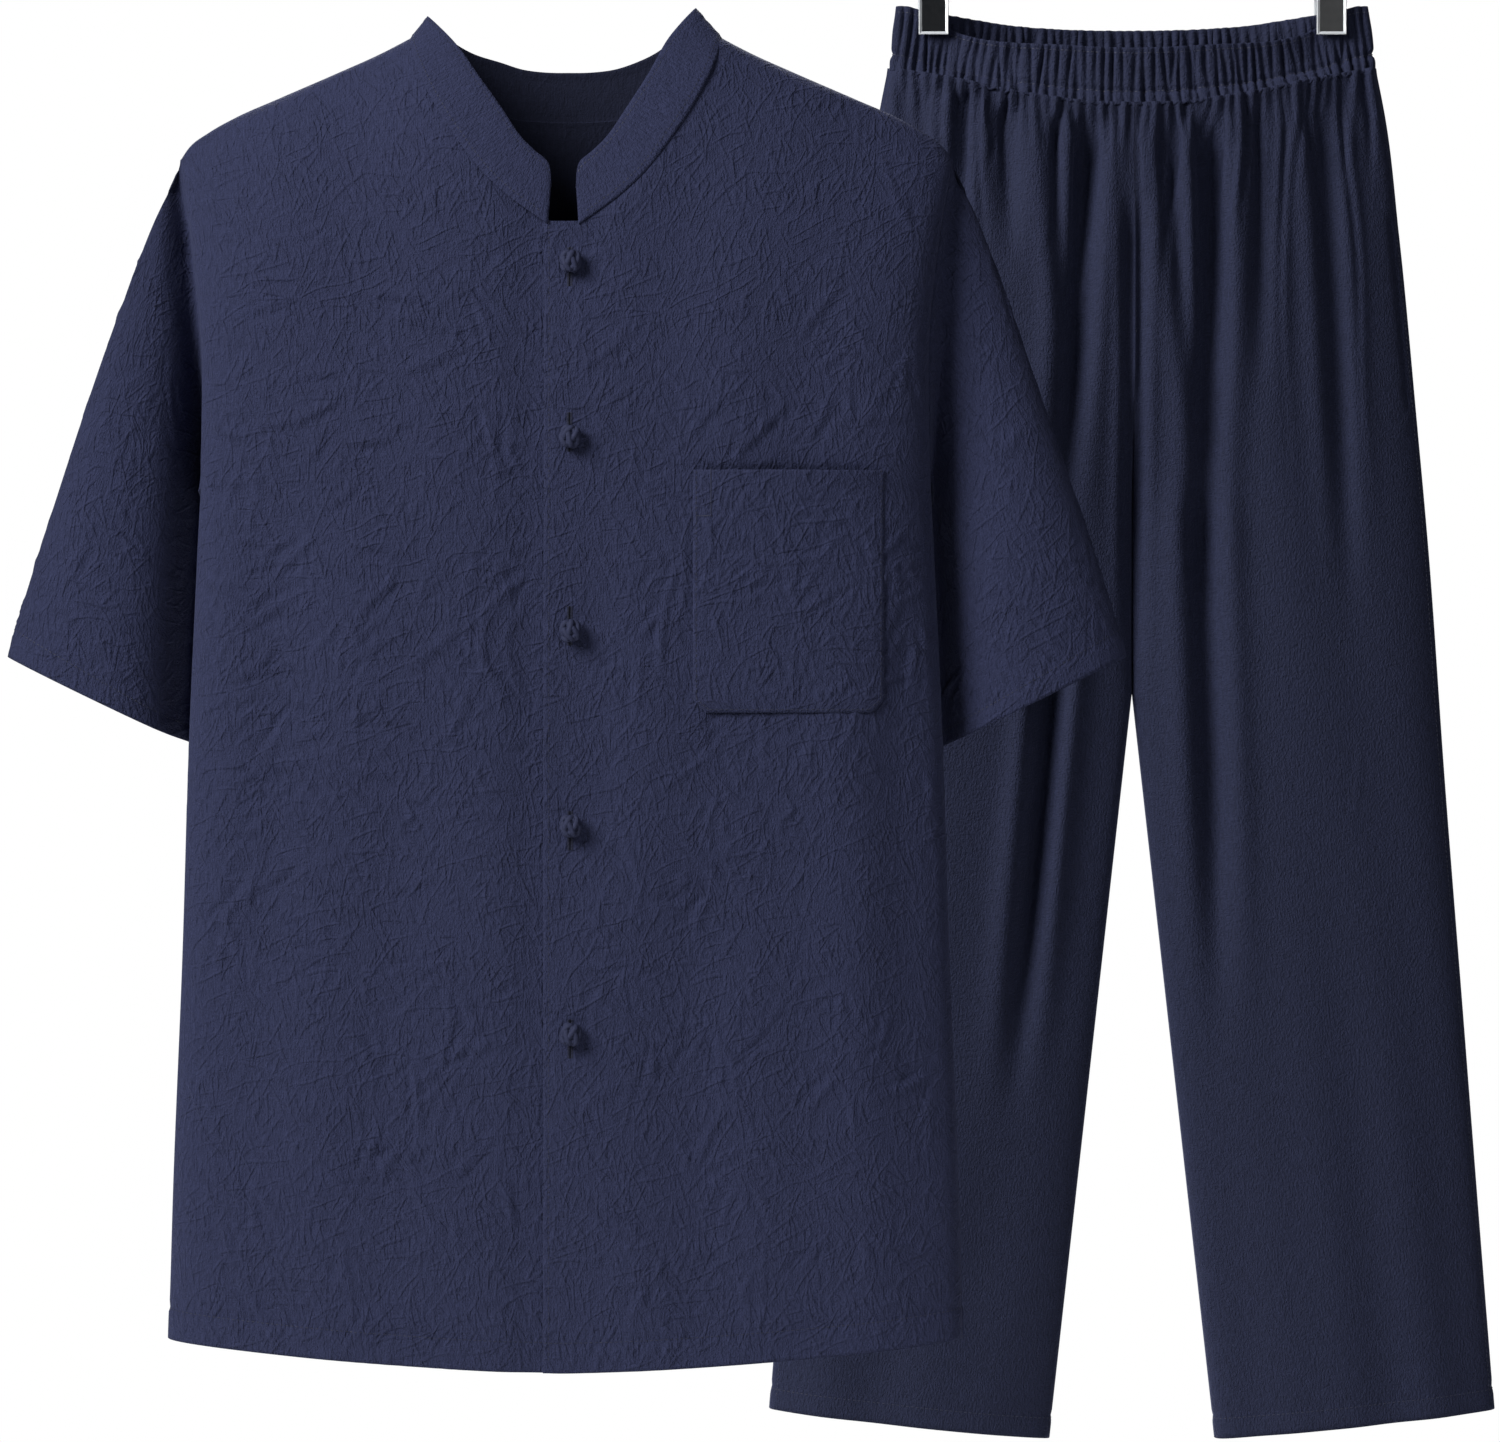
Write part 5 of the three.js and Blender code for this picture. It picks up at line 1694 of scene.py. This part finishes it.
class SUIT_OT_hanger(bpy.types.Operator):
    """Make the hanger's bar and hook"""

    bl_idname = "suit.hanger"
    bl_label = "Bar and hook"

    def execute(self, context):
        low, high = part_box("hanger_bar")
        middle = (low + high) / 2
        bar = bmesh.new()
        turned = Matrix.Translation(middle) @ Matrix.Rotation(math.pi / 2, 4, "Y")
        radius = (high.y - low.y) / 2
        bmesh.ops.create_cone(
            bar, cap_ends=True, segments=48, radius1=radius, radius2=radius,
            depth=high.x - low.x, matrix=turned,
        )
        rims = [e for e in bar.edges if abs(e.verts[0].co.x - e.verts[1].co.x) < 1e-6]
        bmesh.ops.bevel(
            bar, geom=rims, offset=BAR_ROUND * MM, segments=4, profile=0.5, affect="EDGES",
            material=-1,
        )
        piece = finish_mesh("bar", bar, finish("steel"))
        declare(piece, "steel", "hanger_bar")
        self.hook(high.z)
        return {"FINISHED"}

    def hook(self, bar_top):
        """A round wire that rises from the bar and bends over to a round tip."""
        wire, inside = HOOK_WIRE * MM, HOOK_INSIDE * MM
        reach = inside + wire
        turns = np.linspace(-math.pi / 2, math.radians(HOOK_BEND), 64)
        bend = [(reach * math.cos(a), 0, reach * math.sin(a) - inside) for a in turns]
        foot = bar_top + HOOK_CLEAR * MM
        path = [(0, 0, foot), (0, 0, (bar_top + bend[0][2]) / 2)] + bend
        work = wire_work("hook", path, wire, 6)
        tip = bmesh.ops.create_uvsphere(work, u_segments=16, v_segments=10, radius=wire)["verts"]
        bmesh.ops.translate(work, vec=Vector(path[-1]), verts=tip)
        bmesh.ops.recalc_face_normals(work, faces=work.faces)
        declare(finish_mesh("hook", work, finish("steel")), "steel", "hanger_hook")


# The camera and the lights, in metres.
LENS = 116.13  # in millimetres, on a sensor 36 mm wide
EYE = (-0.2442, -3.095, -0.552)
MIDDLE = (-0.24, 0, -0.55)
FLOOR_AT = (-0.24, 0, -1.35)
FLOOR_RADIUS = 1.2
SOFT_LIGHT = 0.07
Lamp = namedtuple("Lamp", "name place size power")
SHIRT_KEY = Lamp("Shirt key", (-2.35, -2.0, 1.1), 1.8, 131)
TROUSER_KEY = Lamp("Trouser key", (-2.6, -1.5, 1.1), 1.8, 178)
FILL = Lamp("Fill", (1.3, -2.9, 0.4), 2.2, 15)
BACK = Lamp("Back", (-0.3, 2.8, 1.4), 2.0, 110)
SHIRT_PIECES = (
    "left_front", "right_front", "back", "left_sleeve", "right_sleeve", "collar", "pocket",
    "knot", "shirt_stitches", "buttonhole",
)


class SUIT_OT_stage(bpy.types.Operator):
    """Set the camera, the pale floor and the soft lights"""

    bl_idname = "suit.stage"
    bl_label = "Stage"

    def execute(self, context):
        scene = context.scene
        self.camera(scene)
        self.floor()
        self.lights()
        self.surroundings(scene)
        scene.view_settings.view_transform = "Standard"
        return {"FINISHED"}

    def camera(self, scene):
        data = bpy.data.cameras.new("Camera")
        data.sensor_width = 36
        data.lens = LENS
        eye = bpy.data.objects.new("Camera", data)
        eye.location = EYE
        eye.rotation_euler = (math.pi / 2, 0, 0)
        scene.collection.objects.link(eye)
        scene.camera = eye

    def floor(self):
        disc = bmesh.new()
        bmesh.ops.create_circle(disc, cap_ends=True, segments=96, radius=FLOOR_RADIUS)
        bmesh.ops.translate(disc, vec=FLOOR_AT, verts=disc.verts)
        finish_mesh("floor", disc, hard_finish("Matt white paint", "#EDEDEC", 0.8))

    def lights(self):
        """Soft light from the left, with a little from the right and from behind. Each garment
        has a key light of its own, so that neither throws a shadow on the other."""
        pieces = [piece for piece in bpy.context.scene.objects if piece.type == "MESH"]
        shirt = [piece for piece in pieces if piece.name.startswith(SHIRT_PIECES)]
        others = [piece for piece in pieces if piece not in shirt]
        keys = ((SHIRT_KEY, shirt), (TROUSER_KEY, others), (FILL, None), (BACK, None))
        for (name, place, size, power), lit in keys:
            data = bpy.data.lights.new(name, "AREA")
            data.shape = "DISK"
            data.size = size
            data.energy = power
            lamp = bpy.data.objects.new(name, data)
            lamp.location = place
            towards = Vector(MIDDLE) - lamp.location
            lamp.rotation_euler = towards.to_track_quat("-Z", "Y").to_euler()
            bpy.context.scene.collection.objects.link(lamp)
            if lit is not None:
                only = bpy.data.collections.new(name)
                for piece in lit:
                    only.objects.link(piece)
                lamp.light_linking.receiver_collection = only
                lamp.light_linking.blocker_collection = only

    def surroundings(self, scene):
        """White behind the suit, and a softer grey as the light that it sends."""
        world = bpy.data.worlds.new("Studio")
        world.use_nodes = True
        tree = world.node_tree
        tree.nodes.clear()
        ray = add_node(tree, "ShaderNodeLightPath").outputs["Is Camera Ray"]
        soft = add_node(tree, "ShaderNodeBackground", Color=(1, 1, 1, 1), Strength=SOFT_LIGHT)
        seen = add_node(tree, "ShaderNodeBackground", Color=(1, 1, 1, 1), Strength=1.0)
        both = add_node(tree, "ShaderNodeMixShader", i0=ray, i1=soft.outputs[0], i2=seen.outputs[0])
        add_node(tree, "ShaderNodeOutputWorld", Surface=both.outputs[0])
        scene.world = world


OPERATORS = (
    SUIT_OT_shirt_panels,
    SUIT_OT_sleeves,
    SUIT_OT_collar,
    SUIT_OT_pocket,
    SUIT_OT_knot_buttons,
    SUIT_OT_casing,
    SUIT_OT_trouser_panels,
    SUIT_OT_stitches,
    SUIT_OT_clips,
    SUIT_OT_hanger,
    SUIT_OT_stage,
)


class SUIT_PT_panel(bpy.types.Panel):
    """The suit's settings and pieces"""

    bl_idname = "SUIT_PT_panel"
    bl_label = "Stand Collar Suit"
    bl_space_type = "VIEW_3D"
    bl_region_type = "UI"
    bl_category = "Suit"

    def draw(self, context):
        suit = context.scene.suit
        for name in SuitSettings.__annotations__:
            self.layout.prop(suit, name)
        for operator in OPERATORS:
            self.layout.operator(operator.bl_idname)


CLASSES = (SuitSettings, *OPERATORS, SUIT_PT_panel)


def register():
    for cls in CLASSES:
        bpy.utils.register_class(cls)
    bpy.types.Scene.suit = bpy.props.PointerProperty(type=SuitSettings)


def unregister():
    del bpy.types.Scene.suit
    for cls in reversed(CLASSES):
        bpy.utils.unregister_class(cls)


def main():
    register()
    for operator in OPERATORS:
        group, name = operator.bl_idname.split(".")
        getattr(getattr(bpy.ops, group), name)()


if __name__ == "__main__":
    main()
